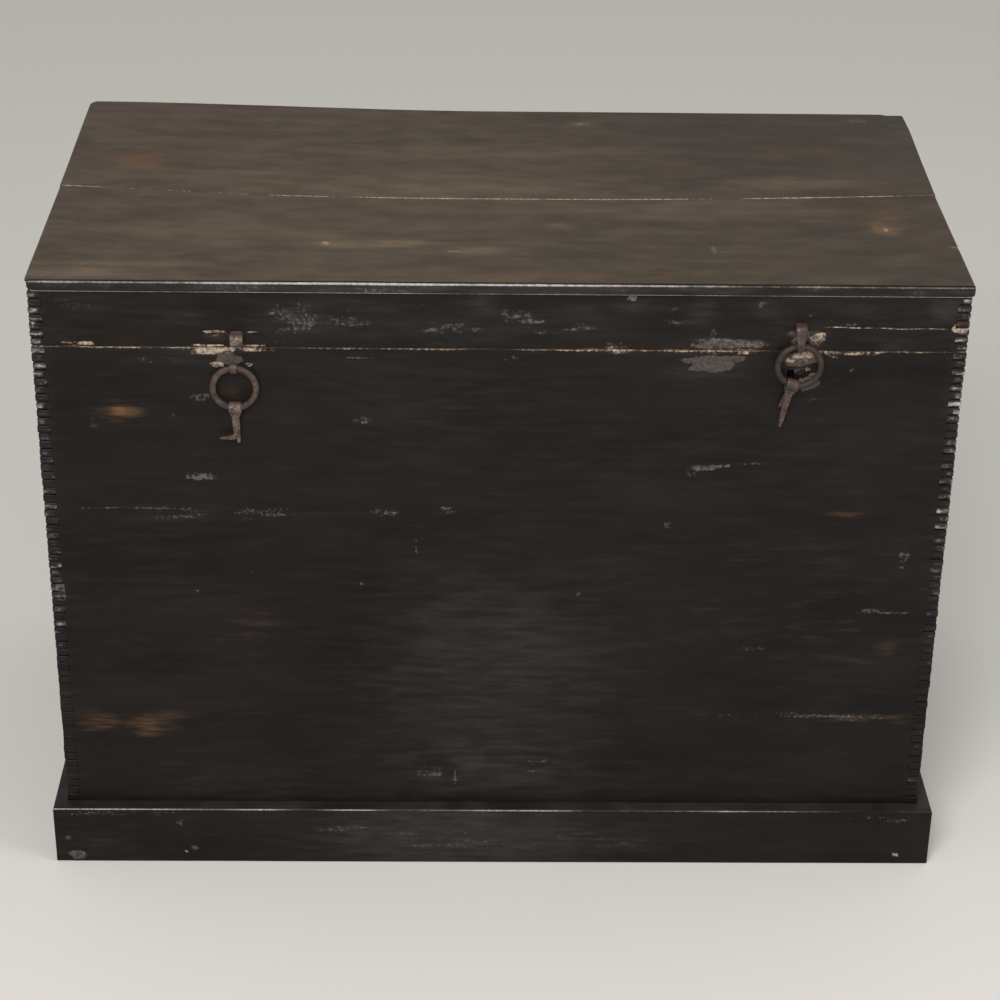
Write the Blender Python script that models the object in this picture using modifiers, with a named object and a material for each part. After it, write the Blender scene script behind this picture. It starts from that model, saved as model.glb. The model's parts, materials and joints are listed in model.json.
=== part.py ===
"""Lacquer coffer: a finger-jointed trunk with a hinged lid, a moulded plinth and iron ring fastenings.

Metres, +Z up, front towards -Y, origin on the floor under the middle of the trunk.
"""
import math

import bmesh
import bpy
from mathutils import Matrix, Vector

# Clearances
fit_gap = 0.0003
seam_gap = 0.0005
mitre_relief = 0.00023
weld_distance = 0.000001

# Case, with the heights of its glue lines counted in fingers from the bottom
case_width = 0.900
case_depth = 0.492
seam_height = 0.596
wall_thickness = 0.013
finger_count = 68
front_seams = (19, 47)
back_seams = (23, 46)
left_seams = (21, 44)
right_seams = (25, 45)

# Bottom
floor_clearance = 0.006
bottom_thickness = 0.012
bottom_board_names = ("front", "middle", "back")

# Plinth
plinth_height = 0.069
plinth_projection = 0.014
plinth_ledge_fall = 0.003
plinth_top_round = 0.005
plinth_top_turn = math.radians(75)
plinth_foot_round = 0.002

# Lid
lid_rim_height = 0.057
lid_finger_count = 7
top_thickness = 0.012
top_overhang = 0.002
top_round = 0.0025
top_seam_from_front = 0.236

# Hinges, on the back
hinge_spacing = 0.520
leaf_width = 0.060
leaf_height = 0.044
leaf_thickness = 0.002
barrel_radius = 0.0042
knuckle_relief = 0.0002
tab_overlap = 0.0006
leaf_shoulder_fall = 0.0015
pin_radius = 0.0016
pin_head_radius = 0.0027
pin_crown_radius = 0.0019
pin_head_height = 0.0014
nail_radius = 0.0013
nail_head_radius = 0.0032
nail_head_height = 0.0016
nail_crown_radius = 0.0019
nail_crown_height = 0.0013
nail_length = 0.011
nail_point = 0.0022
nail_spacing = 0.036
nail_reach = 0.027

# Wrought iron straps, bent double and clinched inside the wall
strap_thickness = 0.0016
strap_split = 0.0004
strap_bend = 0.0014
clinch_length = 0.010
eye_play = 0.0006
peg_play = 0.0012
wall_clear = 0.0008

# Rings and their split pegs
ring_outer = 0.048
ring_wire = 0.0063
case_eye_x = -0.256
case_eye_below_seam = 0.0189
case_eye_width = 0.006
lid_eye_left_x = -0.2525
lid_eye_left_above_seam = 0.0156
lid_eye_left_drop = 0.0055
lid_eye_left_width = 0.012
lid_eye_right_x = 0.288
lid_eye_right_above_seam = 0.028
lid_eye_right_drop = 0.0195
lid_eye_right_width = 0.010
lid_eye_right_tip_width = 0.006
lost_eye_x = 0.281
lost_eye_below_seam = 0.023
peg_eye_width = 0.012
peg_leg_width = 0.0075
peg_leg_middle_width = 0.0052
peg_leg_tip_width = 0.0026
peg_leg_middle_share = 0.75
peg_shift_middle_share = 0.6
peg_left_length = 0.032
peg_left_hook = 0.016
peg_left_spur = 0.006
peg_left_bend = 0.0038
peg_left_bend_width = 0.0045
peg_left_tip_width = 0.0019
peg_left_tip_fall = 0.0008
peg_right_length = 0.0455
peg_right_short_leg = 0.026
peg_right_splay = 0.0035
peg_right_turn = math.radians(16)

# Side handles
handle_wire = 0.008
handle_span = 0.130
handle_drop = 0.052
handle_bend = 0.010
handle_stub = 0.011
handle_below_seam = 0.135
handle_eye_width = 0.008

# Directions that a wall can face, as turns about +Z from the front
FRONT = 0.0
RIGHT = math.pi / 2
BACK = math.pi
LEFT = 3 * math.pi / 2

# Worked out from the sizes above
wall_base = floor_clearance + bottom_thickness
finger_pitch = (seam_height - wall_base) / finger_count
lid_base = seam_height + seam_gap
lid_finger_pitch = lid_rim_height / lid_finger_count
lid_top_base = lid_base + lid_rim_height + fit_gap
hinge_standoff = fit_gap + barrel_radius + knuckle_relief
hinge_height = seam_height + seam_gap / 2
knuckle_length = (leaf_width - 2 * fit_gap) / 3
ring_radius = (ring_outer - ring_wire) / 2
ring_standoff = ring_wire / 2 + peg_play + strap_thickness + wall_clear
eye_radius = ring_wire / 2 + eye_play + strap_thickness / 2
peg_radius = ring_wire / 2 + peg_play + strap_thickness / 2
handle_standoff = handle_wire / 2 + eye_play + strap_thickness + wall_clear
handle_eye_radius = handle_wire / 2 + eye_play + strap_thickness / 2
handle_height = seam_height - handle_below_seam
leg_offset = (strap_thickness + strap_split) / 2
walls = {
    "front": (FRONT, case_width / 2, case_depth / 2, front_seams, 0),
    "back": (BACK, case_width / 2, case_depth / 2, back_seams, 0),
    "left": (LEFT, case_depth / 2, case_width / 2, left_seams, 1),
    "right": (RIGHT, case_depth / 2, case_width / 2, right_seams, 1),
}


def clear_scene():
    """Empty the file of its objects."""
    for obj in list(bpy.data.objects):
        bpy.data.objects.remove(obj, do_unlink=True)


def make_material(name, color, roughness, metallic=0.0):
    """One plain finish."""
    material = bpy.data.materials.new(name)
    material.use_nodes = True
    shader = material.node_tree.nodes["Principled BSDF"]
    shader.inputs["Base Color"].default_value = (*color, 1.0)
    shader.inputs["Roughness"].default_value = roughness
    shader.inputs["Metallic"].default_value = metallic
    return material


clear_scene()
coffer = bpy.data.collections.new("lacquer_coffer")
bpy.context.scene.collection.children.link(coffer)
black_lacquer = make_material("black_lacquer", (0.020, 0.017, 0.015), 0.42)
worn_lid_lacquer = make_material("worn_lid_lacquer", (0.062, 0.050, 0.038), 0.50)
bare_camphor_wood = make_material("bare_camphor_wood", (0.240, 0.150, 0.085), 0.75)
wrought_iron = make_material("wrought_iron", (0.085, 0.062, 0.050), 0.65, 0.7)


def world_origin(obj):
    """Where an object's origin lies, adding up its parents' places."""
    origin = Vector()
    while obj is not None:
        origin += obj.location
        obj = obj.parent
    return origin


def add_piece(name, data, material, location=(0, 0, 0), rotation=(0, 0, 0), parent=None):
    """Put one named piece into the coffer, at a place given in the world."""
    piece = bpy.data.objects.new(name, data)
    coffer.objects.link(piece)
    piece.data.materials.append(material)
    piece.parent = parent
    piece.rotation_euler = rotation
    piece.location = Vector(location) - world_origin(parent)
    return piece


def on_wall(facing, along, outward, height):
    """World point from a place along a wall, its distance out from the trunk's middle, and its height."""
    return Matrix.Rotation(facing, 3, "Z") @ Vector((along, -outward, height))


def arc(center_x, center_y, radius, start, end, steps):
    """Points of a circular arc between two angles, both ends included."""
    angles = [start + (end - start) * step / steps for step in range(steps + 1)]
    return [(center_x + radius * math.cos(a), center_y + radius * math.sin(a)) for a in angles]


def circle(center_x, center_y, radius, sides):
    """Closed round outline."""
    return arc(center_x, center_y, radius, 0, 2 * math.pi, sides)[:-1]


def rectangle(center_x, center_y, width, height):
    """Closed rectangular outline."""
    corners = ((-1, -1), (1, -1), (1, 1), (-1, 1))
    return [(center_x + width / 2 * sx, center_y + height / 2 * sy) for sx, sy in corners]


def flat_outline(name, loops, thickness):
    """Flat 2D curve; the first loop is the edge and the others are holes through it."""
    curve = bpy.data.curves.new(name, "CURVE")
    curve.dimensions = "2D"
    curve.fill_mode = "BOTH"
    curve.extrude = thickness / 2
    for loop in loops:
        spline = curve.splines.new("POLY")
        spline.points.add(len(loop) - 1)
        for point, (x, y) in zip(spline.points, loop):
            point.co = (x, y, 0, 1)
        spline.use_cyclic_u = True
    return curve


def evaluated_mesh(obj):
    """Welded mesh of an object as it looks with its modifiers; the object itself is removed."""
    bpy.context.view_layer.update()
    depsgraph = bpy.context.evaluated_depsgraph_get()
    mesh = bpy.data.meshes.new_from_object(obj.evaluated_get(depsgraph))
    mesh.transform(obj.matrix_world)
    bpy.data.objects.remove(obj, do_unlink=True)
    shape = bmesh.new()
    shape.from_mesh(mesh)
    bmesh.ops.remove_doubles(shape, verts=shape.verts, dist=weld_distance)
    shape.to_mesh(mesh)
    shape.free()
    return mesh


def helper_object(data, rotation=(0, 0, 0), location=(0, 0, 0)):
    """Loose object used while a piece is being made."""
    helper = bpy.data.objects.new("helper", data)
    bpy.context.scene.collection.objects.link(helper)
    helper.rotation_euler = rotation
    helper.location = location
    return helper


def united(meshes):
    """One mesh from overlapping meshes, joined by Boolean unions."""
    base = helper_object(meshes[0])
    tools = [helper_object(mesh) for mesh in meshes[1:]]
    for tool in tools:
        joined = base.modifiers.new("join", "BOOLEAN")
        joined.operation = "UNION"
        joined.object = tool
    mesh = evaluated_mesh(base)
    for tool in tools:
        bpy.data.objects.remove(tool, do_unlink=True)
    return mesh


def box_mesh(name, size):
    """Box of a given size about its own middle."""
    shape = bmesh.new()
    bmesh.ops.create_cube(shape, size=1.0)
    bmesh.ops.scale(shape, vec=size, verts=shape.verts)
    mesh = bpy.data.meshes.new(name)
    shape.to_mesh(mesh)
    shape.free()
    return mesh


def turned_mesh(name, profile, steps):
    """Round piece: a profile of radius and height, listed from the top down, swept about Z."""
    mesh = bpy.data.meshes.new(name)
    edges = [(i, i + 1) for i in range(len(profile) - 1)]
    mesh.from_pydata([(radius, 0, height) for radius, height in profile], edges, [])
    helper = helper_object(mesh)
    screw = helper.modifiers.new("turn", "SCREW")
    screw.steps = steps
    screw.render_steps = steps
    screw.use_merge_vertices = True
    screw.merge_threshold = weld_distance
    return evaluated_mesh(helper)


def round_shading(piece, angle=math.radians(40)):
    """Smooth the round faces and keep the edges."""
    piece.data.shade_smooth()
    piece.data.set_sharp_from_angle(angle=angle)


def comb_outline(half_length, base, pitch, first, last, own):
    """Board edge with fingers at both ends: own slots reach the corner, the others stop at the next wall."""
    side = []
    for slot in range(first, last):
        finger = slot % 2 == own
        reach = half_length if finger else half_length - wall_thickness - fit_gap
        low_inset = fit_gap if finger or slot == first else -fit_gap
        high_inset = fit_gap if finger or slot == last - 1 else -fit_gap
        low = base + slot * pitch + low_inset / 2
        high = base + (slot + 1) * pitch - high_inset / 2
        side += [(reach, low), (reach, high)]
    return side + [(-x, z) for x, z in reversed(side)]


def strap_hole(along, height, width):
    """Mortise that takes the two legs of a strap, side by side."""
    tall = 2 * strap_thickness + strap_split
    return rectangle(along, height, width + 2 * fit_gap, tall + 2 * fit_gap)


def nail_hole(along, height):
    """Round hole that takes the shank of a hinge nail."""
    return circle(along, height, nail_radius + fit_gap, 8)


def nail_holes(sign):
    """Holes in a wall for the nails of both hinges, above the hinge axis or below it by sign."""
    height = hinge_height + sign * nail_reach
    return [nail_hole(hinge * hinge_spacing / 2 + nail * nail_spacing / 2, height)
            for hinge in (-1, 1) for nail in (-1, 1)]


def handle_holes():
    """Mortises for the two eyes of a side handle."""
    return [strap_hole(side * handle_span / 2, handle_height, handle_eye_width) for side in (-1, 1)]


def make_walls():
    """Four walls of three boards each, finger-jointed at the corners."""
    holes = {
        "front": [strap_hole(case_eye_x, seam_height - case_eye_below_seam, case_eye_width),
                  strap_hole(lost_eye_x, seam_height - lost_eye_below_seam, case_eye_width)],
        "back": nail_holes(-1),
        "left": handle_holes(),
        "right": handle_holes(),
    }
    for side, (facing, half_length, reach, seams, own) in walls.items():
        edges = (0, *seams, finger_count)
        for label, first, last in zip(("bottom", "middle", "top"), edges, edges[1:]):
            loops = [comb_outline(half_length, wall_base, finger_pitch, first, last, own)]
            if label == "top":
                loops += holes[side]
            name = f"{side}_board_{label}"
            place = on_wall(facing, 0, reach - wall_thickness / 2, 0)
            board = flat_outline(name, loops, wall_thickness)
            add_piece(name, board, black_lacquer, place, (math.pi / 2, 0, facing))


def make_bottom():
    """Boards under the walls, side by side from front to back."""
    count = len(bottom_board_names)
    depth = case_depth / count
    size = (case_width, depth - fit_gap, bottom_thickness - fit_gap)
    for index, label in enumerate(bottom_board_names):
        y = -case_depth / 2 + depth * (index + 0.5)
        name = f"bottom_board_{label}"
        place = (0, y, floor_clearance + size[2] / 2)
        add_piece(name, box_mesh(name, size), bare_camphor_wood, place)


def plinth_profile():
    """Plinth section as distance out and height: eased foot, plain face, rounded sloping ledge."""
    top = plinth_height - plinth_ledge_fall
    foot = arc(plinth_projection - plinth_foot_round, plinth_foot_round, plinth_foot_round,
               -math.pi / 2, 0, 2)
    shoulder = arc(plinth_projection - plinth_top_round, top - plinth_top_round, plinth_top_round,
                   0, plinth_top_turn, 4)
    return [(fit_gap, 0), *foot, *shoulder, (fit_gap, plinth_height)]


def make_plinth():
    """Four moulded rails, mitred at the corners."""
    for side, (facing, half_length, reach, _seams, _own) in walls.items():
        name = f"plinth_{side}"
        mesh = evaluated_mesh(helper_object(flat_outline(name, [plinth_profile()], 2 * half_length)))
        for vertex in mesh.vertices:
            out, height, along = vertex.co
            end = half_length + out - mitre_relief
            vertex.co = (-math.copysign(end, along), -out, height)
        mesh.name = name
        add_piece(name, mesh, black_lacquer, on_wall(facing, 0, reach, 0), (0, 0, facing))


def make_lid(pivot):
    """Finger-jointed lid rim and the two boards that close it."""
    holes = {
        "front": [strap_hole(lid_eye_left_x, seam_height + lid_eye_left_above_seam, lid_eye_left_width),
                  strap_hole(lid_eye_right_x, seam_height + lid_eye_right_above_seam, lid_eye_right_width)],
        "back": nail_holes(1),
    }
    for side, (facing, half_length, reach, _seams, own) in walls.items():
        name = f"lid_rim_{side}"
        loops = [comb_outline(half_length, lid_base, lid_finger_pitch, 0, lid_finger_count, own)]
        loops += holes.get(side, [])
        rim = flat_outline(name, loops, wall_thickness)
        place = on_wall(facing, 0, reach - wall_thickness / 2, 0)
        add_piece(name, rim, black_lacquer, place, (math.pi / 2, 0, facing), pivot)
    front_edge = -case_depth / 2 - top_overhang
    back_edge = case_depth / 2 + top_overhang
    seam = -case_depth / 2 + top_seam_from_front
    boards = (
        ("front", front_edge, seam - fit_gap / 2),
        ("back", seam + fit_gap / 2, back_edge),
    )
    for label, low, high in boards:
        name = f"lid_top_{label}"
        mesh = box_mesh(name, (case_width + 2 * top_overhang, high - low, top_thickness))
        place = (0, (low + high) / 2, lid_top_base + top_thickness / 2)
        board = add_piece(name, mesh, worn_lid_lacquer, place, (0, 0, 0), pivot)
        ease = board.modifiers.new("eased_edges", "BEVEL")
        ease.width = top_round
        ease.segments = 2


def leaf_outline(tabs, sign):
    """Hinge leaf seen from behind, hanging from the axis, with a tab just past the axis at each knuckle."""
    half = leaf_width / 2
    shoulder = barrel_radius + fit_gap
    points = [(-half, leaf_height), (half, leaf_height)]
    for low, high in sorted(tabs, reverse=True):
        points += [(high, shoulder), (high, -tab_overlap), (low, -tab_overlap), (low, shoulder)]
    if tabs[0][0] > -half:
        corner = shoulder + leaf_shoulder_fall
        points = points[:2] + [(half, corner)] + points[2:] + [(-half, corner)]
    trimmed = [points[0]] + [b for a, b in zip(points, points[1:]) if a != b]
    return [(x, sign * z) for x, z in trimmed]


def leaf_mesh(name, tabs, sign):
    """Hinge leaf with its knuckles curled round the pin, about the hinge axis."""
    outlines = [leaf_outline(tabs, sign)]
    outlines += [nail_hole(side * nail_spacing / 2, sign * nail_reach) for side in (-1, 1)]
    back = hinge_standoff - fit_gap - leaf_thickness / 2
    plate = helper_object(flat_outline(name, outlines, leaf_thickness), (math.pi / 2, 0, 0), (0, back, 0))
    meshes = [evaluated_mesh(plate)]
    rings = [circle(0, 0, barrel_radius, 20), circle(0, 0, pin_radius + fit_gap, 12)]
    for low, high in tabs:
        barrel = helper_object(flat_outline(name, rings, high - low - 2 * knuckle_relief),
                               (math.pi / 2, 0, math.pi / 2), ((low + high) / 2, 0, 0))
        meshes.append(evaluated_mesh(barrel))
    mesh = united(meshes)
    mesh.name = name
    return mesh


def pin_mesh(name):
    """Hinge pin with a peened head at each end, along Z."""
    head = leaf_width / 2 + fit_gap
    tip = head + pin_head_height
    profile = [(0, tip), (pin_crown_radius, tip), (pin_head_radius, head + pin_head_height / 2),
               (pin_head_radius, head), (pin_radius, head)]
    profile += [(radius, -z) for radius, z in reversed(profile)]
    return turned_mesh(name, profile, 12)


def nail_mesh(name):
    """Nail with a domed head above Z 0 and a pointed shank below."""
    profile = [(0, nail_head_height), (nail_crown_radius, nail_crown_height), (nail_head_radius, 0),
               (nail_radius, 0), (nail_radius, nail_point - nail_length), (0, -nail_length)]
    return turned_mesh(name, profile, 8)


def make_hinges(pivot):
    """Two iron butt hinges on the back, each of two leaves, a pin and the nails that hold it."""
    half = leaf_width / 2
    outer = [(-half, -half + knuckle_length), (half - knuckle_length, half)]
    middle = [(-knuckle_length / 2, knuckle_length / 2)]
    back = case_depth / 2
    nail_seat = back + leaf_thickness + 2 * fit_gap
    for label, along in (("left", hinge_spacing / 2), ("right", -hinge_spacing / 2)):
        place = on_wall(BACK, along, back + hinge_standoff, hinge_height)
        for body, tabs, sign, parent in (("case", outer, -1, None), ("lid", middle, 1, pivot)):
            name = f"hinge_{label}_{body}_leaf"
            add_piece(name, leaf_mesh(name, tabs, sign), wrought_iron, place, (0, 0, BACK), parent)
            for number, side in ((1, 1), (2, -1)):
                name = f"hinge_{label}_{body}_nail_{number}"
                nail_along = along + side * nail_spacing / 2
                seat = on_wall(BACK, nail_along, nail_seat, hinge_height + sign * nail_reach)
                nail = add_piece(name, nail_mesh(name), wrought_iron, seat, (-math.pi / 2, 0, 0), parent)
                round_shading(nail)
        name = f"hinge_{label}_pin"
        pin = add_piece(name, pin_mesh(name), wrought_iron, place, (0, math.pi / 2, 0))
        round_shading(pin)


def strap_mesh(name, stations):
    """Flat iron strap lofted through stations of place, width and lean of the width from level."""
    places = [Vector(station[0]) for station in stations]
    last = len(stations) - 1
    shape = bmesh.new()
    sections = []
    for index, (_place, width, lean) in enumerate(stations):
        tangent = (places[min(index + 1, last)] - places[max(index - 1, 0)]).normalized()
        across = Vector((math.cos(lean), 0, math.sin(lean)))
        across = (across - tangent * across.dot(tangent)).normalized()
        normal = tangent.cross(across)
        corners = ((-1, -1), (1, -1), (1, 1), (-1, 1))
        sections.append([shape.verts.new(places[index] + across * (width / 2 * a)
                                         + normal * (strap_thickness / 2 * n)) for a, n in corners])
    for lower, upper in zip(sections, sections[1:]):
        for i in range(4):
            j = (i + 1) % 4
            shape.faces.new((lower[i], lower[j], upper[j], upper[i]))
    shape.faces.new(sections[0])
    shape.faces.new(sections[-1])
    bmesh.ops.recalc_face_normals(shape, faces=shape.faces)
    mesh = bpy.data.meshes.new(name)
    shape.to_mesh(mesh)
    shape.free()
    return mesh


def clinched_leg(height, sign):
    """Strap leg through the wall, bent flat against its inner face, from the tip to the outer face."""
    depth = wall_thickness + fit_gap + strap_thickness / 2
    rise = height + sign * strap_bend
    bend = arc(-(depth - strap_bend), rise, strap_bend, math.pi, math.pi + sign * math.pi / 2, 3)
    return [(-depth, rise + sign * clinch_length), *bend, (0, height)]


def round_eye(radius, standoff):
    """Loop straight in front of its hole, from the upper leg over the front to the lower leg."""
    neck = math.pi - math.asin(leg_offset / radius)
    return arc(standoff, 0, radius, neck, -neck, 14)


def hanging_eye(radius, standoff, drop):
    """Loop that hangs below its hole: out and down the front, under, and up behind."""
    front = standoff + radius
    behind = standoff - radius
    shoulder = radius
    out = arc(front - shoulder, drop + leg_offset - shoulder, shoulder, math.pi / 2, 0, 4)
    under = arc(standoff, 0, radius, 0, -math.pi, 8)
    back = arc(behind - strap_bend, drop - leg_offset - strap_bend, strap_bend, 0, math.pi / 2, 3)
    return out + under + back


def eye_mesh(name, loop, standoff, hole_height, width, tip_width):
    """Eye of bent strap about the axis of what hangs in it, its legs clinched behind the wall."""
    path = clinched_leg(hole_height + leg_offset, 1) + loop
    path += reversed(clinched_leg(hole_height - leg_offset, -1))
    lowest = min(v for _u, v in loop)
    stations = []
    for u, v in path:
        share = 0.0 if u <= 0 else min(1.0, max(0.0, (hole_height - v) / (hole_height - lowest)))
        stations.append(((0, standoff - u, v), width + (tip_width - width) * share, 0.0))
    return strap_mesh(name, stations)


def make_ring(name, place, parent):
    """Round ring that hangs from its top, with its origin on the eye's axis."""
    bpy.ops.mesh.primitive_torus_add(major_radius=ring_radius, minor_radius=ring_wire / 2,
                                     major_segments=32, minor_segments=8)
    helper = bpy.context.object
    helper.rotation_euler = (math.pi / 2, 0, 0)
    helper.location = (0, 0, -ring_radius)
    mesh = evaluated_mesh(helper)
    mesh.name = name
    ring = add_piece(name, mesh, wrought_iron, place, (0, 0, 0), parent)
    round_shading(ring)
    return ring


def peg_mesh(name, rear_leg, front_leg):
    """Split peg: a strap looped over the ring's wire; its two legs are given from the loop down."""
    neck = math.asin(leg_offset / peg_radius)
    loop = arc(0, 0, peg_radius, -math.pi / 2 - neck, -5 * math.pi / 2 + neck, 14)
    stations = [((x, leg_offset, z), width, lean) for x, z, width, lean in reversed(rear_leg)]
    stations += [((0, -u, v), peg_eye_width, 0.0) for u, v in loop]
    stations += [((x, -leg_offset, z), width, lean) for x, z, width, lean in front_leg]
    return strap_mesh(name, stations)


def hooked_leg():
    """Leg that ends in a long hook bent sideways."""
    bend = peg_left_bend
    leg = [(0, -2 * peg_radius, peg_leg_width, 0.0)]
    for x, z in arc(-bend, -peg_left_length + bend, bend, 0, -math.pi / 2, 4):
        lean = -math.acos(max(-1.0, min(1.0, (x + bend) / bend)))
        leg.append((x, z, peg_left_bend_width, lean))
    tip_height = -peg_left_length - peg_left_tip_fall
    leg.append((-peg_left_hook, tip_height, peg_left_tip_width, -math.pi / 2))
    return leg


def straight_leg(length, shift):
    """Leg that narrows to its tip and stands off sideways."""
    return [(0, -2 * peg_radius, peg_leg_width, 0.0),
            (shift * peg_shift_middle_share, -length * peg_leg_middle_share, peg_leg_middle_width, 0.0),
            (shift, -length, peg_leg_tip_width, 0.0)]


def make_fastenings(pivot):
    """Lid eyes, case eye, rings and split pegs on the front."""
    front = case_depth / 2 + ring_standoff
    case_axis = seam_height - case_eye_below_seam
    left_axis = seam_height + lid_eye_left_above_seam - lid_eye_left_drop
    right_axis = seam_height + lid_eye_right_above_seam - lid_eye_right_drop
    eyes = (
        ("case_eye_left", case_eye_x, case_axis, 0.0, case_eye_width, case_eye_width, None),
        ("lid_eye_left", lid_eye_left_x, left_axis, lid_eye_left_drop,
         lid_eye_left_width, lid_eye_left_width, pivot),
        ("lid_eye_right", lid_eye_right_x, right_axis, lid_eye_right_drop,
         lid_eye_right_width, lid_eye_right_tip_width, pivot),
    )
    for name, x, axis, drop, width, tip_width, parent in eyes:
        if drop > 0:
            loop = hanging_eye(eye_radius, ring_standoff, drop)
        else:
            loop = round_eye(eye_radius, ring_standoff)
        mesh = eye_mesh(name, loop, ring_standoff, drop, width, tip_width)
        add_piece(name, mesh, wrought_iron, (x, -front, axis), (0, 0, 0), parent)
    ring_left = make_ring("ring_left", (case_eye_x, -front, case_axis), None)
    ring_right = make_ring("ring_right", (lid_eye_right_x, -front, right_axis), pivot)
    spur_leg = straight_leg(peg_left_length + peg_left_spur, peg_left_spur)
    left_mesh = peg_mesh("peg_left", spur_leg, hooked_leg())
    left_place = (case_eye_x, -front, case_axis - 2 * ring_radius)
    add_piece("peg_left", left_mesh, wrought_iron, left_place, (0, 0, 0), ring_left)
    right_mesh = peg_mesh("peg_right", straight_leg(peg_right_short_leg, -peg_right_splay),
                          straight_leg(peg_right_length, peg_right_splay))
    right_place = (lid_eye_right_x - ring_radius * math.sin(peg_right_turn), -front,
                   right_axis - ring_radius * (1 + math.cos(peg_right_turn)))
    add_piece("peg_right", right_mesh, wrought_iron, right_place, (0, peg_right_turn, 0), ring_right)


def bail_curve(name):
    """Bail of round bar, hanging from two stubs that turn outwards through the eyes."""
    leg = handle_span / 2 - handle_eye_width / 2 - handle_bend - fit_gap
    upper = arc(leg + handle_bend, -handle_bend, handle_bend, math.pi / 2, math.pi, 4)
    lower = arc(leg - handle_bend, -handle_drop + handle_bend, handle_bend, 0, -math.pi / 2, 4)
    half = [(handle_span / 2 + handle_stub, 0), *upper, *lower]
    points = half + [(-x, z) for x, z in reversed(half)]
    curve = bpy.data.curves.new(name, "CURVE")
    curve.dimensions = "3D"
    curve.bevel_depth = handle_wire / 2
    curve.bevel_resolution = 2
    curve.use_fill_caps = True
    spline = curve.splines.new("POLY")
    spline.points.add(len(points) - 1)
    for point, (x, z) in zip(spline.points, points):
        point.co = (x, 0, z, 1)
    return curve


def make_handles():
    """A drop handle on each side, hung in two eyes."""
    loop = round_eye(handle_eye_radius, handle_standoff)
    for side in ("left", "right"):
        facing, _half_length, reach, _seams, _own = walls[side]
        name = f"handle_{side}"
        out = reach + handle_standoff
        place = on_wall(facing, 0, out, handle_height)
        add_piece(name, bail_curve(name), wrought_iron, place, (0, 0, facing))
        for number, end in ((1, -1), (2, 1)):
            name = f"handle_{side}_eye_{number}"
            place = on_wall(facing, end * handle_span / 2, out, handle_height)
            eye = eye_mesh(name, loop, handle_standoff, 0.0, handle_eye_width, handle_eye_width)
            add_piece(name, eye, wrought_iron, place, (0, 0, facing))


lid_pivot = bpy.data.objects.new("lid_pivot", None)
coffer.objects.link(lid_pivot)
lid_pivot.location = (0, case_depth / 2 + hinge_standoff, hinge_height)
make_walls()
make_bottom()
make_plinth()
make_lid(lid_pivot)
make_hinges(lid_pivot)
make_fastenings(lid_pivot)
make_handles()
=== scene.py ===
"""Looks of the lacquer coffer: worn black lacquer, bare wood inside, rusty forged iron and a plain studio.

Metres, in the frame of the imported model. Wear marks are written in millimetres.
"""
import json
import math

import bmesh
import bpy
import numpy as np
from mathutils import Matrix, Vector

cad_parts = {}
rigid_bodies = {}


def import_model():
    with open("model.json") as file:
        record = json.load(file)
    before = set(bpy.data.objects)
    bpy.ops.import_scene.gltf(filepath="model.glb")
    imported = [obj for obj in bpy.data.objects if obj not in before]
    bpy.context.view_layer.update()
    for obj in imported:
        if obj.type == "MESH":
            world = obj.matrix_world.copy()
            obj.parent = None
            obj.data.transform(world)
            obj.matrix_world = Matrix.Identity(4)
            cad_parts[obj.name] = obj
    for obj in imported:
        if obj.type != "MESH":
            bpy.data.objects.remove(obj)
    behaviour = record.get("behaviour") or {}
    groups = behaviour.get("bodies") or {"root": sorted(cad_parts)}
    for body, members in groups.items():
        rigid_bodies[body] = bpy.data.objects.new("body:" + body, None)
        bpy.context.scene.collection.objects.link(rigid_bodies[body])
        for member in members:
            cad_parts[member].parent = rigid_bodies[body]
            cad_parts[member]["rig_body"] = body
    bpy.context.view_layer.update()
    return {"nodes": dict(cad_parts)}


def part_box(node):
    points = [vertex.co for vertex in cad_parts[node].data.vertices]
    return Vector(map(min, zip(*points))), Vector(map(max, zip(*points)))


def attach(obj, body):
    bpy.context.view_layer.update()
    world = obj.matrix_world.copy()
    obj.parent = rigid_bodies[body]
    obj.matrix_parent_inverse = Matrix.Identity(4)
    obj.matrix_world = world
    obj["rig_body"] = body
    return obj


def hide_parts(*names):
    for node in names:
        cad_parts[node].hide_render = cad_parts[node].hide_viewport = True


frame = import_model()

MM = 0.001

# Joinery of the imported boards
FINGERS = 68
LID_FINGERS = 7
FIT_GAP = 0.3 * MM
FRONT_OWN, SIDE_OWN = 0, 1

# Places taken from the frame
front_low, front_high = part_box("front_board_bottom")
rim_low, rim_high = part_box("lid_rim_front")
WALL = front_high.y - front_low.y
HALF_WIDTH = front_high.x
HALF_DEPTH = -front_low.y
CASE_BASE = front_low.z - FIT_GAP / 2
CASE_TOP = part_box("front_board_top")[1].z + FIT_GAP / 2
LID_BASE = rim_low.z - FIT_GAP / 2
LID_TOP = rim_high.z + FIT_GAP / 2
FINGER_PITCH = (CASE_TOP - CASE_BASE) / FINGERS
LID_PITCH = (LID_TOP - LID_BASE) / LID_FINGERS

# Turn of each wall about +Z from the front, half its length, its distance from the middle, its finger slots
WALLS = {
    "front": (0.0, HALF_WIDTH, HALF_DEPTH, FRONT_OWN),
    "right": (math.pi / 2, HALF_DEPTH, HALF_WIDTH, SIDE_OWN),
    "back": (math.pi, HALF_WIDTH, HALF_DEPTH, FRONT_OWN),
    "left": (3 * math.pi / 2, HALF_DEPTH, HALF_WIDTH, SIDE_OWN),
}

# Spacing of the grid along each wall
GRID = {"front": 2.5 * MM, "right": 4.5 * MM, "back": 6 * MM, "left": 4.5 * MM}

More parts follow.
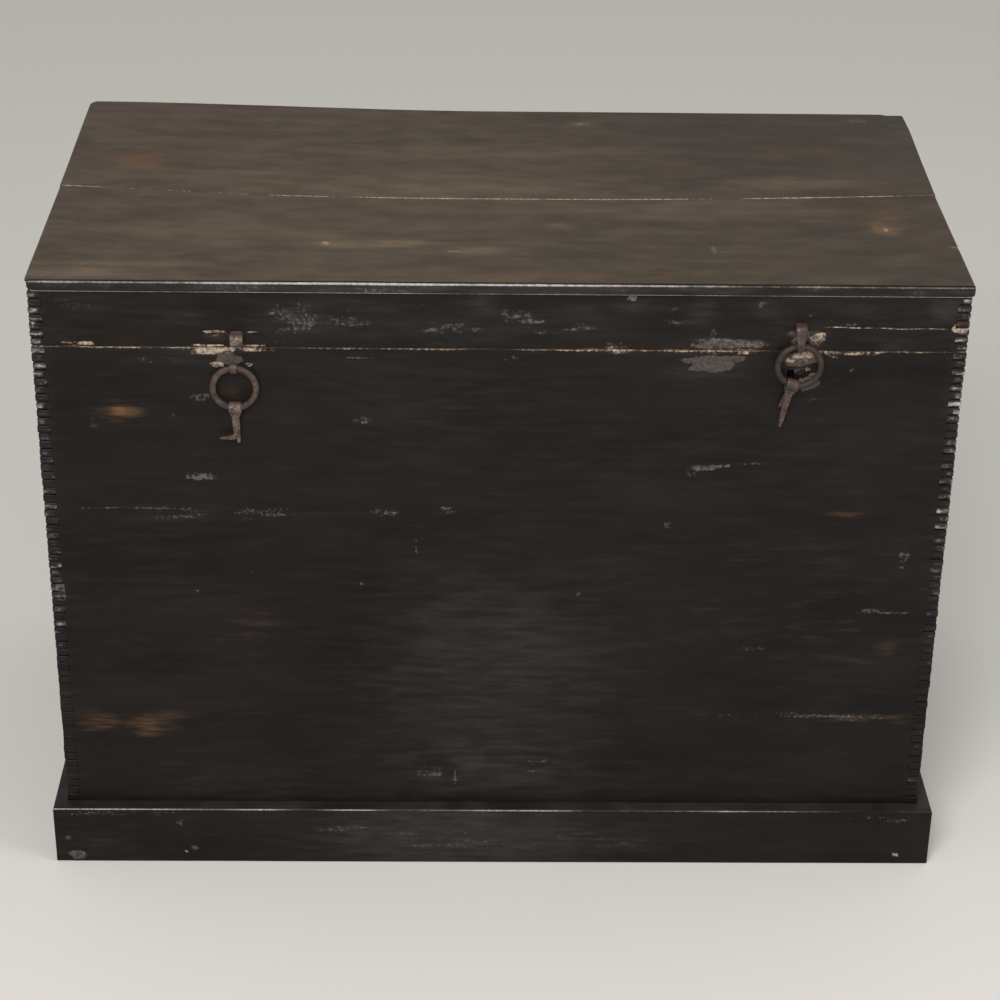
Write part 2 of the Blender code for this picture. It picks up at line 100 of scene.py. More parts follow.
# Wear on the front as place along from the middle, height above the floor, half sizes and strength; its
# haze is partly dust and partly a painted sheen, a reflection painted onto the lacquer
FRONT_MARKS = {
    "brown": (
        (-370, 530, 11, 10, 0.68), (-366, 529, 26, 19, 0.45), (-392, 515, 5, 6, 0.70),
        (-404, 168, 28, 14, 0.50), (-366, 164, 26, 14, 0.62), (-340, 170, 22, 10, 0.40),
        (333, 269, 90, 62, 0.13), (366, 255, 38, 30, 0.16), (400, 262, 18, 24, 0.16),
        (344, 418, 20, 5, 0.55), (-246, 287, 36, 30, 0.20), (289, 586, 17, 12, 0.50),
        (302, 600, 12, 7, 0.50), (400, 176, 56, 8, 0.34), (-256, 547, 14, 11, 0.30),
        (280, 330, 160, 90, 0.10),
    ),
    "ground": (
        (203, 582, 23, 9, 0.75), (184, 586, 12, 5, 0.70), (226, 588, 14, 5, 0.65), (-259, 584, 13, 6, 0.72),
        (-264, 590, 10, 4, 0.60), (289, 588, 18, 9, 0.72), (300, 594, 10, 4, 0.70), (284, 572, 12, 8, 0.45),
        (298, 563, 10, 6, 0.66),
    ),
    "scuff": (
        (204, 470, 14, 4, 0.62), (190, 464, 7, 8, 0.48), (216, 471, 12, 2, 0.60), (248, 475, 23, 2, 0.52),
        (169, 405, 5, 5, 0.60), (-361, 421, 73, 1.5, 0.60), (-322, 414, 33, 6, 0.40),
        (-236, 415, 33, 7, 0.42), (-112, 418, 15, 7, 0.42), (-51, 421, 10, 6, 0.38),
        (-290, 543, 10, 6, 0.50), (-134, 522, 11, 6, 0.42), (-294, 456, 16, 6, 0.46),
        (409, 369, 6, 11, 0.46), (-440, 325, 5, 15, 0.75), (-66, 108, 16, 10, 0.38), (44, 116, 26, 8, 0.36),
        (-41, 100, 2.5, 9, 0.80), (334, 179, 122, 2, 0.46), (300, 181, 14, 4, 0.48),
        (385, 177, 32, 6, 0.42), (398, 304, 37, 2, 0.58), (380, 306, 14, 4, 0.40), (219, 594, 34, 3, 0.50),
        (-327, 584, 26, 6, 0.36), (-138, 586, 19, 1, 0.60), (9, 587, 10, 3.5, 0.48), (-316, 524, 2, 2, 0.8),
        (-184, 374, 2, 2, 0.8), (-246, 347, 2, 2, 0.7), (-302, 326, 2, 2, 0.7), (-136, 337, 2, 2, 0.6),
        (82, 324, 3, 3, 0.85), (339, 578, 4, 2.6, 0.5), (-81, 377, 1.6, 9, 0.50), (-235, 594, 22, 3, 0.50),
        (-278, 592, 18, 5, 0.50), (300, 545, 9, 6, 0.35), (280, 262, 30, 4, 0.36), (362, 240, 16, 4, 0.40),
        (297, 563, 12, 7, 1.00), (303, 570, 6, 5, 0.90),
    ),
    # The two broad patches in the middle are a painted sheen, a reflection painted onto the lacquer, and the
    # clear marks cut dark blotches out of it; the other patches are dust
    "dust_and_sheen": (
        (0, 235, 130, 120, 0.55), (0, 120, 110, 50, 0.60), (-60, 540, 130, 60, 0.20),
        (-300, 590, 70, 16, 0.30), (205, 583, 44, 18, 0.45), (140, 480, 150, 60, 0.12),
        (-250, 90, 150, 40, 0.20), (-320, 414, 70, 16, 0.25), (-350, 330, 90, 90, 0.12),
        (300, 480, 110, 60, 0.10),
    ),
    "clear": (
        (-66, 122, 20, 12, 0.45), (-48, 108, 9, 12, 0.50), (8, 128, 24, 9, 0.40), (44, 124, 22, 10, 0.45),
        (70, 106, 12, 8, 0.40), (-8, 104, 14, 7, 0.35),
    ),
    "bare": (
        (-279, 592, 12, 3.2, 0.85), (-266, 593, 16, 1.6, 0.75), (-240, 594, 13, 1.8, 0.75),
        (-273, 578, 7, 2.8, 0.75), (-242, 578, 4, 1.8, 0.50), (292, 592, 13, 2.6, 0.80),
        (281, 586, 6, 3, 0.55), (297, 578, 4, 4, 0.50), (321, 592, 10, 2.0, 0.55),
        (345, 594, 20, 1.6, 0.55), (398, 595, 50, 1.2, 0.62), (236, 594, 16, 1.2, 0.75),
        (176, 595, 6, 1.4, 0.75), (115, 595, 17, 2, 0.60), (141, 595, 39, 1, 0.60),
        (-401, 595, 12, 1.5, 0.60), (-430, 595, 30, 1, 0.50),
    ),
    "chip": (
        (-262, 597, 28, 5, 0.8), (205, 586, 28, 9, 0.3), (115, 598, 16, 4, 0.5), (289, 588, 14, 7, 0.6),
        (-401, 598, 10, 3, 0.5), (321, 597, 14, 5, 0.5),
    ),
}
RIM_MARKS = {
    "brown": (
        (-271, 607, 15, 5, 0.30), (-235, 606, 13, 5, 0.34), (302, 607, 10, 9, 0.45), (441, 621, 8, 6, 0.35),
        (228, 606, 26, 7, 0.40),
    ),
    "ground": (
        (304, 608, 10, 7, 0.75), (286, 614, 14, 6, 0.55), (222, 604, 26, 6, 0.72), (196, 601, 14, 3, 0.60),
        (242, 601, 12, 3.5, 0.60),
    ),
    "scuff": (
        (-201, 627, 28, 18, 0.36), (-190, 622, 16, 8, 0.44), (-211, 606, 9, 6, 0.42),
        (-53, 616, 31, 10, 0.36), (-45, 618, 14, 6, 0.44), (29, 626, 14, 3, 0.56), (10, 627, 8, 3, 0.52),
        (39, 612, 6, 5, 0.48), (204, 615, 3, 5, 0.48), (249, 644, 4, 5, 0.50), (301, 634, 8, 8, 0.45),
        (125, 651, 6, 4, 0.70), (115, 602, 17, 6, 0.50), (219, 603, 34, 7, 0.56), (288, 613, 12, 10, 0.55),
        (-420, 640, 26, 6, 0.30), (-90, 640, 24, 8, 0.28), (-146, 628, 22, 10, 0.38),
        (72, 620, 20, 6, 0.38), (14, 634, 18, 6, 0.36), (168, 632, 16, 8, 0.36), (330, 626, 20, 6, 0.34),
    ),
    "dust_and_sheen": (
        (-195, 626, 52, 24, 0.45), (-45, 620, 70, 18, 0.35), (20, 624, 50, 14, 0.35),
        (215, 603, 48, 12, 0.40), (285, 618, 32, 18, 0.40), (-380, 640, 70, 16, 0.20),
        (425, 642, 20, 14, 0.75), (410, 630, 50, 20, 0.35), (-120, 638, 40, 9, 0.45),
        (-20, 640, 26, 12, 0.50), (70, 634, 34, 12, 0.45), (130, 642, 30, 9, 0.50),
        (190, 636, 22, 14, 0.55), (250, 640, 26, 10, 0.45), (335, 640, 30, 12, 0.45),
        (-300, 630, 30, 8, 0.40), (-420, 612, 30, 9, 0.35), (90, 612, 40, 8, 0.40),
        (-100, 610, 50, 7, 0.35), (370, 608, 34, 8, 0.40),
    ),
    "bare": (
        (-274, 613, 12, 1.3, 0.72), (-236, 612, 9, 1.3, 0.68), (-282, 598.5, 16, 1.3, 0.72),
        (-236, 598.5, 14, 1.3, 0.66), (441, 622, 10, 5, 1.00), (-397, 599, 9, 2, 0.80),
        (-412, 600, 10, 1.4, 0.55), (115, 599, 16, 2, 0.50), (305, 609, 9, 6.5, 0.58),
        (292, 618, 4, 4, 0.60), (-446, 624, 4, 9, 0.60),
    ),
    "chip": (
        (-271, 610, 13, 3, 0.7), (-238, 609, 10, 3, 0.7), (115, 597, 16, 3, 0.6), (-401, 598, 9, 4, 0.6),
        (441, 623, 9, 6, 0.4), (300, 603, 14, 8, 0.5), (219, 597, 32, 5, 0.4),
    ),
}

# Empty mortise of the lost eye on the front, torn wider than it was cut: middle and half sizes
LOST_EYE = (281, 571.5, 3.2, 4.4)

# Split in the lid's front rim: its height and where along the rim it starts
SPLIT_HEIGHT, SPLIT_START = 621.5, 296

# Wear on the lid as place along and place from the middle towards the back
TOP_MARKS = {
    "brown": (
        (-372, 78, 52, 40, 0.42), (-227, 22, 30, 20, 0.45), (382, -68, 26, 70, 0.40),
        (386, -100, 16, 22, 0.60), (-300, -225, 160, 16, 0.28), (140, -232, 190, 12, 0.35),
        (300, 40, 100, 16, 0.35), (-130, -148, 60, 22, 0.35), (-330, 90, 24, 16, 0.40),
        (330, 110, 60, 30, 0.30), (-80, 200, 120, 20, 0.25),
    ),
    "scuff": (
        (209, -157, 3, 12, 0.90), (216, -162, 6, 3, 0.80), (97, 209, 20, 12, 0.45), (98, -99, 5, 8, 0.48),
        (-380, -210, 90, 2, 0.52), (-400, -232, 60, 8, 0.42), (140, 190, 60, 4, 0.34),
        (-420, -170, 14, 6, 0.42), (-16, 212, 18, 4, 0.42), (448, -150, 8, 4, 0.6),
        (-430, -238, 34, 5, 0.50), (405, 224, 12, 10, 0.50), (-125, -144, 40, 2.5, 0.56),
        (-100, -153, 60, 3, 0.52), (-60, -160, 30, 2.5, 0.54),
    ),
    "bare": (
        (-172, -147, 5, 6, 0.44), (-21, -163, 20, 4, 0.42), (-46, -166, 8, 3, 0.55),
        (386, -104, 4, 6, 0.42), (95, 205, 9, 6, 0.50), (448, -150, 7, 3, 0.5),
    ),
    "dust_and_sheen": (
        (-133, -150, 50, 9, 1.00), (-100, -143, 40, 7, 0.70), (-21, -163, 26, 8, 0.75),
        (200, -40, 200, 30, 0.30), (-40, 20, 240, 34, 0.35), (-250, -120, 120, 24, 0.22),
        (60, 110, 160, 30, 0.25), (-405, -232, 60, 14, 0.60), (386, -97, 14, 20, 0.65),
        (300, 30, 80, 18, 0.50), (-250, 50, 24, 9, 0.50), (-215, 24, 40, 7, 0.40), (345, 34, 36, 9, 0.55),
        (-370, -205, 90, 5, 0.45), (97, 207, 26, 14, 0.45), (60, -88, 14, 10, 0.35),
    ),
    "chip": (
        (98, -99, 5, 6, 0.3), (452, -150, 8, 5, 0.4),
    ),
}

# Wear on the front of the plinth as place along and height; its broad haze in the middle is partly dust and
# partly the painted sheen of the wall above, carried down
PLINTH_MARKS = {
    "brown": (
        (120, 30, 60, 14, 0.12), (-300, 40, 50, 14, 0.12),
    ),
    "scuff": (
        (-317, 18, 4, 3, 0.95), (-57, 38, 46, 2, 0.44), (-4, 28, 34, 2, 0.42), (-30, 22, 80, 1.5, 0.40),
        (-440, 10, 9, 6, 0.85), (-452, 32, 4, 3, 0.8), (-330, 50, 3, 5, 0.6), (60, 30, 90, 12, 0.24),
        (-40, 34, 70, 16, 0.28), (-160, 44, 34, 8, 0.30), (415, 58, 40, 4, 0.42), (-400, 62, 60, 3, 0.42),
    ),
    "dust_and_sheen": (
        (-40, 34, 150, 44, 1.00), (-160, 40, 70, 20, 0.50), (100, 30, 90, 24, 0.50),
        (-420, 20, 50, 20, 0.30),
    ),
    "bare": (
        (-326, 14, 2, 2, 0.9), (430, 12, 4, 3, 0.7),
    ),
    "chip": (
        (-455, 4, 9, 6, 0.4),
    ),
}

# For each kind of wear: its darkest and palest shade, how far it hides the lacquer, how far noise breaks it
# up, and the amounts at which it starts and is full. Haze is dust in the film, and also a painted sheen
# where the lacquer shows a reflection; ground is the grey priming under it; rub is the pale polish on worn
# edges, and also a painted highlight where a rounded edge faces the lamp. The lid's film is worn thin and
# its colours also hold a painted sheen, so haze and brown are paler there.
# Soft wear follows the brush, and broken wear has torn edges.
SOFT_WEAR, BROKEN_WEAR = ("dust_and_sheen", "brown"), ("ground", "scuff", "bare")
WEAR_AND_PAINTED_LIGHT = {
    "dust_and_sheen": ("#282626", "#363333", 0.80, 0.25, 0.00, 1.00),
    "brown": ("#2b1c13", "#6b4d33", 0.85, 0.30, 0.08, 0.95),
    "ground": ("#3c3633", "#504945", 0.94, 0.40, 0.44, 0.60),
    "scuff": ("#383432", "#6f6962", 0.72, 0.90, 0.38, 0.85),
    "rub_and_highlight": ("#8d8680", "#b9b2ab", 0.90, 0.14, 0.30, 0.85),
    "bare": ("#665447", "#bda995", 0.90, 0.55, 0.38, 0.75),
}
LID_WEAR_AND_PAINTED_LIGHT = {
    **WEAR_AND_PAINTED_LIGHT,
    "dust_and_sheen": ("#5f5243", "#6f5f4b", 0.80, 0.12, 0.05, 1.00),
    "brown": ("#3f2c1d", "#63452b", 0.80, 0.35, 0.05, 0.95),
}


# Small tools

def joined(*parts):
    """Arrays side by side along a last axis; a number fills its whole column."""
    return np.stack(np.broadcast_arrays(*parts), axis=-1)


def unit(vectors):
    """Vectors scaled to length 1."""
    return vectors / np.linalg.norm(vectors, axis=-1, keepdims=True)


def arc(center_u, center_v, radius, start, end, steps):
    """Points of a circular arc between two angles: its centre plus the radius times cosine and sine."""
    angle = np.linspace(start, end, steps)
    return joined(center_u + radius * np.cos(angle), center_v + radius * np.sin(angle))


def circle(steps):
    """Even angles once round."""
    return np.linspace(0, 2 * np.pi, steps, endpoint=False)


def bell(x, middle, reach):
    """Bell curve of height 1: e to the minus square of the distance from the middle, in reaches."""
    return np.exp(-((x - middle) / reach) ** 2)


# Noise and wear fields

NOISE_CELLS = 64


def ease(t):
    """Step from 0 to 1 that starts and ends level: three times the square less twice the cube."""
    t = np.clip(t, 0, 1)
    return t * t * (3 - 2 * t)


def lattice_noise(u, v, seed):
    """Smooth noise from -1 to 1: seeded random values on whole numbers, eased between neighbours."""
    values = np.random.default_rng(seed).uniform(-1, 1, (NOISE_CELLS, NOISE_CELLS))
    i = np.floor(u).astype(int)
    j = np.floor(v).astype(int)
    a = ease(u - i)
    b = ease(v - j)
    left, right = i % NOISE_CELLS, (i + 1) % NOISE_CELLS
    below, above = j % NOISE_CELLS, (j + 1) % NOISE_CELLS
    low = values[left, below] * (1 - a) + values[right, below] * a
    high = values[left, above] * (1 - a) + values[right, above] * a
    return low * (1 - b) + high * b


def rough_noise(u, v, seed):
    """Three smooth noises added up, each twice as fine and half as strong as the one before."""
    return sum(lattice_noise(u * 2**n, v * 2**n, seed + n) / 2**n for n in range(3)) / 1.5


def blotches(marks, u, v, ragged):
    """Strongest of several ellipses at each point; noise shifts their rims."""
    total = np.zeros(np.shape(u))
    for center_u, center_v, half_u, half_v, strength in marks:
        reach = np.hypot((u - center_u) / half_u, (v - center_v) / half_v)
        total = np.maximum(total, strength * ease((1.25 - reach + 0.35 * ragged) / 0.5))
    return total


def clouds(marks, u, v):
    """Strongest of several patches at each point, each fading from its middle out as a bell curve."""
    total = np.zeros(np.shape(u))
    for center_u, center_v, half_u, half_v, strength in marks:
        reach = np.hypot((u - center_u) / half_u, (v - center_v) / half_v)
        total = np.maximum(total, strength * np.exp(-reach**2.5))
    return total


def wear_field(marks, u, v, seed):
    """Wear at points given in millimetres: amounts of each kind, and chip depth in millimetres."""
    ragged = rough_noise(u / 14, v / 7, seed)
    drift_u = u + 7 * rough_noise(u / 30, v / 14, seed + 1)
    drift_v = v + 4 * rough_noise(u / 30, v / 14, seed + 2)
    field = {kind: clouds(marks[kind], drift_u, drift_v) for kind in SOFT_WEAR}
    field["dust_and_sheen"] = field["dust_and_sheen"] * (1 - blotches(marks.get("clear", ()), u, v, ragged))
    for kind in BROKEN_WEAR:
        field[kind] = blotches(marks.get(kind, ()), u, v, ragged)
    field["rub_and_highlight"] = np.zeros(np.shape(u))
    chips = blotches(marks["chip"], u, v, ragged)
    field["dent"] = chips * (2.2 + 0.9 * rough_noise(u / 5, v / 3, seed + 9))
    raise_wear(field, "bare", 0.5 * chips)
    return field


def raise_wear(field, kind, *amounts):
    """Raise one kind of wear to the strongest of its own and other amounts at each point."""
    for amount in amounts:
        field[kind] = np.maximum(field[kind], amount)


def scattered_marks(seed, half_length, low, high):
    """Wear of a side without marks of its own: random streaks along the grain, and chips on the top edge."""
    draw = np.random.default_rng(seed)

    def streaks(count, length, height, weakest, strongest):
        return tuple(zip(
            draw.uniform(60 - half_length, half_length - 60, count), draw.uniform(low, high, count),
            draw.uniform(length / 4, length, count), draw.uniform(height / 3, height, count),
            draw.uniform(weakest, strongest, count),
        ))

    return {
        "brown": streaks(2, 60, 24, 0.20, 0.45),
        "ground": streaks(1, 20, 7, 0.50, 0.65),
        "scuff": streaks(5, 50, 6, 0.34, 0.52),
        "dust_and_sheen": streaks(4, 140, 60, 0.20, 0.50),
        "bare": streaks(1, 14, 3, 0.45, 0.65),
        "chip": tuple((x, high, w, h, s) for x, _z, w, h, s in streaks(3, 16, 5, 0.4, 0.8)),
    }


# Meshes

SHARP_ANGLE = math.radians(38)


def skin_mesh(name, points, ring=False, wear=None, finish=0, cap=0):
    """Skin over rows of closed loops. A ring joins its last row to its first; else a face closes each end.

    wear gives one value a point for each kind of wear; finish gives the material number of each quad, or of
    each column of quads, and cap that of the end faces, or of each of the two.
    """
    rows, columns = points.shape[:2]
    grid = np.arange(rows * columns).reshape(rows, columns)
    low = grid if ring else grid[:-1]
    high = np.roll(grid, -1, axis=0) if ring else grid[1:]
    quads = joined(low, np.roll(low, -1, 1), np.roll(high, -1, 1), high).reshape(-1, 4)
    flat = points.reshape(-1, 3)
    corner = (flat - flat.mean(axis=0))[quads]
    diagonals = np.cross(corner[:, 2] - corner[:, 0], corner[:, 3] - corner[:, 1])
    outward = np.sum(corner.mean(axis=1) * diagonals) > 0
    faces = quads.tolist()
    if not ring:
        faces += [grid[0, ::-1].tolist(), grid[-1].tolist()]
    mesh = bpy.data.meshes.new(name)
    mesh.from_pydata(flat.tolist(), [], faces if outward else [face[::-1] for face in faces])
    for kind in WEAR_AND_PAINTED_LIGHT if wear else ():
        attribute = mesh.attributes.new(kind, "FLOAT", "POINT")
        attribute.data.foreach_set("value", np.clip(wear[kind], 0, 1).astype(np.float32).ravel())
    numbers = np.zeros(len(faces), np.int32)
    numbers[:len(quads)] = np.broadcast_to(finish, low.shape).ravel()
    if not ring:
        numbers[len(quads):] = cap
    mesh.polygons.foreach_set("material_index", numbers)
    mesh.shade_smooth()
    mesh.set_sharp_from_angle(angle=SHARP_ANGLE)
    return mesh


def new_object(name, data):
    """Object in the scene with the given mesh, lamp or camera."""
    made = bpy.data.objects.new(name, data)
    bpy.context.scene.collection.objects.link(made)
    return made


def dress(node, mesh, slot, *finishes):
    """Show a mesh in the place of a CAD node, on the same body."""
    piece = new_object(f"aged_{node}", mesh)
    for finish in finishes:
        mesh.materials.append(finish)
    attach(piece, frame["nodes"][node]["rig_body"])
    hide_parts(node)
    return piece


# Materials

# Cells in millimetres of flecks in the lacquer, and of pits and patches of scale in the iron. Real flecks and
# pits are finer and would not show, so they are drawn this coarse.
FLECK, PIT, SCALE_PATCH = 3.5, 2.2, 9
DRY_ROUGHNESS = 0.8


def linear(hex_color):
    """sRGB hex to linear RGBA."""
    channels = [int(hex_color[i:i + 2], 16) / 255 for i in (1, 3, 5)]
    return [c / 12.92 if c <= 0.04045 else ((c + 0.055) / 1.055) ** 2.4 for c in channels] + [1.0]


def set_inputs(tree, node, inputs):
    """Set a node's inputs by name or number: a socket is linked, anything else is a constant."""
    for key, value in inputs.items():
        if isinstance(value, bpy.types.NodeSocket):
            tree.links.new(value, node.inputs[key])
        else:
            node.inputs[key].default_value = value


def add(tree, kind, inputs, output=0, **settings):
    """Add a node, set its options and inputs, and give one of its outputs."""
    made = tree.nodes.new(f"ShaderNode{kind}")
    for option, value in settings.items():
        setattr(made, option, value)
    set_inputs(tree, made, inputs)
    return made.outputs[output]


def new_material(name):
    """Material with its node tree and its Principled shader."""
    material = bpy.data.materials.new(name)
    material.use_nodes = True
    return material, material.node_tree, material.node_tree.nodes["Principled BSDF"]


def per_metre(*sizes_mm):
    """Texture scale that gives one cell to each size in millimetres."""
    return [1000 / size for size in sizes_mm]


def lacquer(name, along, cloud, detail, dark, light, roughness, specular, wear):
    """Old hand-brushed lacquer on softwood: a thin dull gloss with the grain showing as faint streaks.

    Thin places look brown, flaked ones show the grey ground, scuffs turn the film pale and dry, and bare wood
    shows in chips. along and cloud give the cells of the grain and of the broad stains in millimetres on each
    axis, and detail how many times the grain is repeated finer.
    """
    material, tree, shader = new_material(name)
    place = add(tree, "TexCoord", {}, "Object")

    def streaks(cell, octaves):
        stretched = add(tree, "Mapping", {"Vector": place, "Scale": per_metre(*cell)})
        return add(tree, "TexNoise", {"Vector": stretched, "Scale": 1.0, "Detail": octaves, "Roughness": 0.6})

    grain = streaks(along, detail)
    stains = streaks(cloud, 3.0)
    tears = streaks([0.45 * size + 3 for size in along], detail)
    flecks = add(tree, "TexNoise", {"Vector": place, "Scale": 1000 / FLECK, "Detail": 4.0, "Roughness": 0.65})
    tone = add(tree, "Math", {0: grain, 1: 0.45, 2: stains}, operation="MULTIPLY_ADD")
    tone = add(tree, "Math", {0: tears, 1: 0.40, 2: tone}, operation="MULTIPLY_ADD")
    tone = add(tree, "MapRange", {"Value": tone, "From Min": 0.71, "From Max": 1.14})
    color = add(tree, "Mix", {"Factor": tone, 6: linear(dark), 7: linear(light)}, 2, data_type="RGBA")
    torn = add(tree, "Math", {0: flecks, 1: tears}, operation="ADD")
    torn = add(tree, "MapRange", {"Value": torn, "From Min": 0.72, "From Max": 1.28,
                                  "To Min": -0.4, "To Max": 0.4})
    brushed = add(tree, "MapRange", {"Value": tears, "From Min": 0.32, "From Max": 0.68,
                                     "To Min": -0.4, "To Max": 0.4})
    mottle = add(tree, "MapRange", {"Value": flecks, "From Min": 0.36, "From Max": 0.66})
    strokes = add(tree, "MapRange", {"Value": tears, "From Min": 0.34, "From Max": 0.66})
    masks = {}
    for kind, (deep, pale, cover, grit, least, most) in wear.items():
        edge, shade = (brushed, strokes) if kind in SOFT_WEAR else (torn, mottle)
        amount = add(tree, "Attribute", {}, "Fac", attribute_name=kind)
        amount = add(tree, "Math", {0: edge, 1: grit, 2: amount}, operation="MULTIPLY_ADD")
        masks[kind] = add(tree, "MapRange", {"Value": amount, "From Min": least, "From Max": most,
                                             "To Max": cover}, interpolation_type="SMOOTHSTEP")
        shade = add(tree, "Mix", {"Factor": shade, 6: linear(deep), 7: linear(pale)}, 2, data_type="RGBA")
        color = add(tree, "Mix", {"Factor": masks[kind], 6: color, 7: shade}, 2, data_type="RGBA")
    dry = add(tree, "Math", {0: masks["scuff"], 1: masks["bare"]}, operation="MAXIMUM")
    dry = add(tree, "Math", {0: dry, 1: masks["ground"]}, operation="MAXIMUM")
    gloss = add(tree, "MapRange", {"Value": stains, "From Min": 0.3, "From Max": 0.7,
                                   "To Min": roughness - 0.06, "To Max": roughness + 0.08})
    gloss = add(tree, "Mix", {"Factor": dry, 2: gloss, 3: DRY_ROUGHNESS})
    relief = add(tree, "Math", {0: dry, 1: -0.6, 2: grain}, operation="MULTIPLY_ADD")
    bump = add(tree, "Bump", {"Height": relief, "Strength": 0.3, "Distance": 0.3 * MM})
    set_inputs(tree, shader, {"Base Color": color, "Roughness": gloss, "Normal": bump,
                              "Specular IOR Level": specular})
    return material


def bare_wood(name, fibres):
    """Unfinished softwood inside the trunk: sawn, brown with age, with long soft streaks of grain.

    fibres gives the cells of the grain in millimetres on each axis; its stains are four times as large.
    """
    material, tree, shader = new_material(name)
    place = add(tree, "TexCoord", {}, "Object")
    fine = add(tree, "Mapping", {"Vector": place, "Scale": per_metre(*fibres)})
    grain = add(tree, "TexNoise", {"Vector": fine, "Scale": 1.0, "Detail": 5.0, "Roughness": 0.6,
                                   "Distortion": 0.4})
    broad = add(tree, "Mapping", {"Vector": fine, "Scale": [1 / 4] * 3})
    stains = add(tree, "TexNoise", {"Vector": broad, "Scale": 1.0, "Detail": 3.0})
    tone = add(tree, "MapRange", {"Value": grain, "From Min": 0.32, "From Max": 0.68})
    color = add(tree, "Mix", {"Factor": tone, 6: linear("#6b4c30"), 7: linear("#967249")}, 2,
                data_type="RGBA")
    stained = add(tree, "MapRange", {"Value": stains, "From Min": 0.45, "From Max": 0.75, "To Max": 0.45})
    color = add(tree, "Mix", {"Factor": stained, 6: color, 7: linear("#4f3824")}, 2, data_type="RGBA")
    bump = add(tree, "Bump", {"Height": grain, "Strength": 0.4, "Distance": 0.4 * MM})
    set_inputs(tree, shader, {"Base Color": color, "Normal": bump, "Roughness": 0.78})
    return material


def forged_iron(name, deepest, highest):
    """Hand-forged iron, long rusted and handled: brown scale in the pits and rubbed grey metal between them.

    deepest and highest give the noise levels of the darkest scale and of the brightest metal.
    """
    material, tree, shader = new_material(name)
    place = add(tree, "TexCoord", {}, "Object")
    pits = add(tree, "TexNoise", {"Vector": place, "Scale": 1000 / PIT, "Detail": 5.0, "Roughness": 0.7})
    scale = add(tree, "TexNoise", {"Vector": place, "Scale": 1000 / SCALE_PATCH, "Detail": 3.0})
    level = add(tree, "Math", {0: pits, 1: scale}, operation="ADD")
    tone = add(tree, "MapRange", {"Value": level, "From Min": deepest, "From Max": highest})
    color = add(tree, "ValToRGB", {"Fac": tone})
    stops = color.node.color_ramp.elements
    stops[0].color = linear("#211814")
    stops[1].position = 1.0
    stops[1].color = linear("#85766c")
    stops.new(0.42).color = linear("#42322a")
    stops.new(0.70).color = linear("#5d4d43")
    metal = add(tree, "MapRange", {"Value": level, "From Min": 0.9, "From Max": 1.25, "To Max": 0.55})
    rough = add(tree, "MapRange", {"Value": level, "From Min": 0.8, "From Max": 1.2,
                                   "To Min": 0.85, "To Max": 0.48})
    bump = add(tree, "Bump", {"Height": level, "Strength": 0.7, "Distance": 0.5 * MM})
    set_inputs(tree, shader, {"Base Color": color, "Metallic": metal, "Roughness": rough, "Normal": bump})
    return material


def pale_floor(name):
    """Plain matt studio floor."""
    material, tree, shader = new_material(name)
    set_inputs(tree, shader, {"Base Color": linear("#d5d2cc"), "Roughness": 0.9})
    return material


# Grain runs along each wall, so its cells are long both ways and thin in height; on the lid it runs along X
WALL_GRAIN, WALL_STAINS = (90, 90, 8), (190, 190, 80)
LID_GRAIN, LID_STAINS = (100, 36, 20), (170, 42, 42)
WALL_FIBRES, FLOOR_FIBRES = (90, 90, 3.2), (150, 3.6, 20)
black_lacquer = lacquer(
    "aged_black_lacquer", WALL_GRAIN, WALL_STAINS, 2.5, "#110e0d", "#1d1816", 0.44, 0.14, WEAR_AND_PAINTED_LIGHT)
# The lid's top has the walls' lacquer drawn paler and browner: its colours hold a painted sheen, a reflection
# of a pale wall painted onto it, as well as its wear
lid_lacquer_and_sheen = lacquer(
    "worn_lid_lacquer", LID_GRAIN, LID_STAINS, 2.0, "#31281f", "#453b31", 0.55, 0.16, LID_WEAR_AND_PAINTED_LIGHT)
wall_wood = bare_wood("bare_softwood_walls", WALL_FIBRES)
floor_wood = bare_wood("bare_softwood_floor", FLOOR_FIBRES)
dark_iron = forged_iron("rusted_forged_iron", 0.95, 1.58)
iron = forged_iron("handled_forged_iron", 0.76, 1.36)
rubbed_iron = forged_iron("rubbed_forged_iron", 0.66, 1.25)


# Finger-jointed boards

# Rows of points up a finger and up a notch, as shares of its height
FINGER_ROWS = np.array([0, 0.03, 0.08, 0.16, 0.28, 0.5, 0.72, 0.84, 0.92, 0.97, 1])
NOTCH_ROWS = np.array([0, 0.33, 0.67, 1])
# Least step between rows, and how far a notch's points reach past the shoulder so that none coincide
ROW_STEP = 0.01 * MM
NOTCH_STEP = 0.02 * MM
# Rounding of the least and most worn finger, of a board's ends and of its inner edges
FINGER_ROUND = (0.7 * MM, 2.6 * MM)
END_ROUND = 1.5 * MM
INNER_ROUND = 0.3 * MM
# Spacing of points on the inner face
INNER_SPACING = 22 * MM
# Rounding in millimetres of glued edges, of the case's top edge and of the rim's lower and upper edge
GLUED_EDGE, TOP_EDGE, RIM_LOW, RIM_HIGH = 0.15, 0.8, 0.7, 0.2
# An edge rounded more than this lies open, and its face is bare wood
GLUED_ROUND = 0.2
# How far scuffs and polish reach from a worn edge
EDGE_LINE, POLISH_LINE = 0.9 * MM, 0.8 * MM
# Torn rim of an empty hole and its depth, as shares of its half size and of the wall
PIT_RIM, PIT_DEPTH = 1.12, 0.8


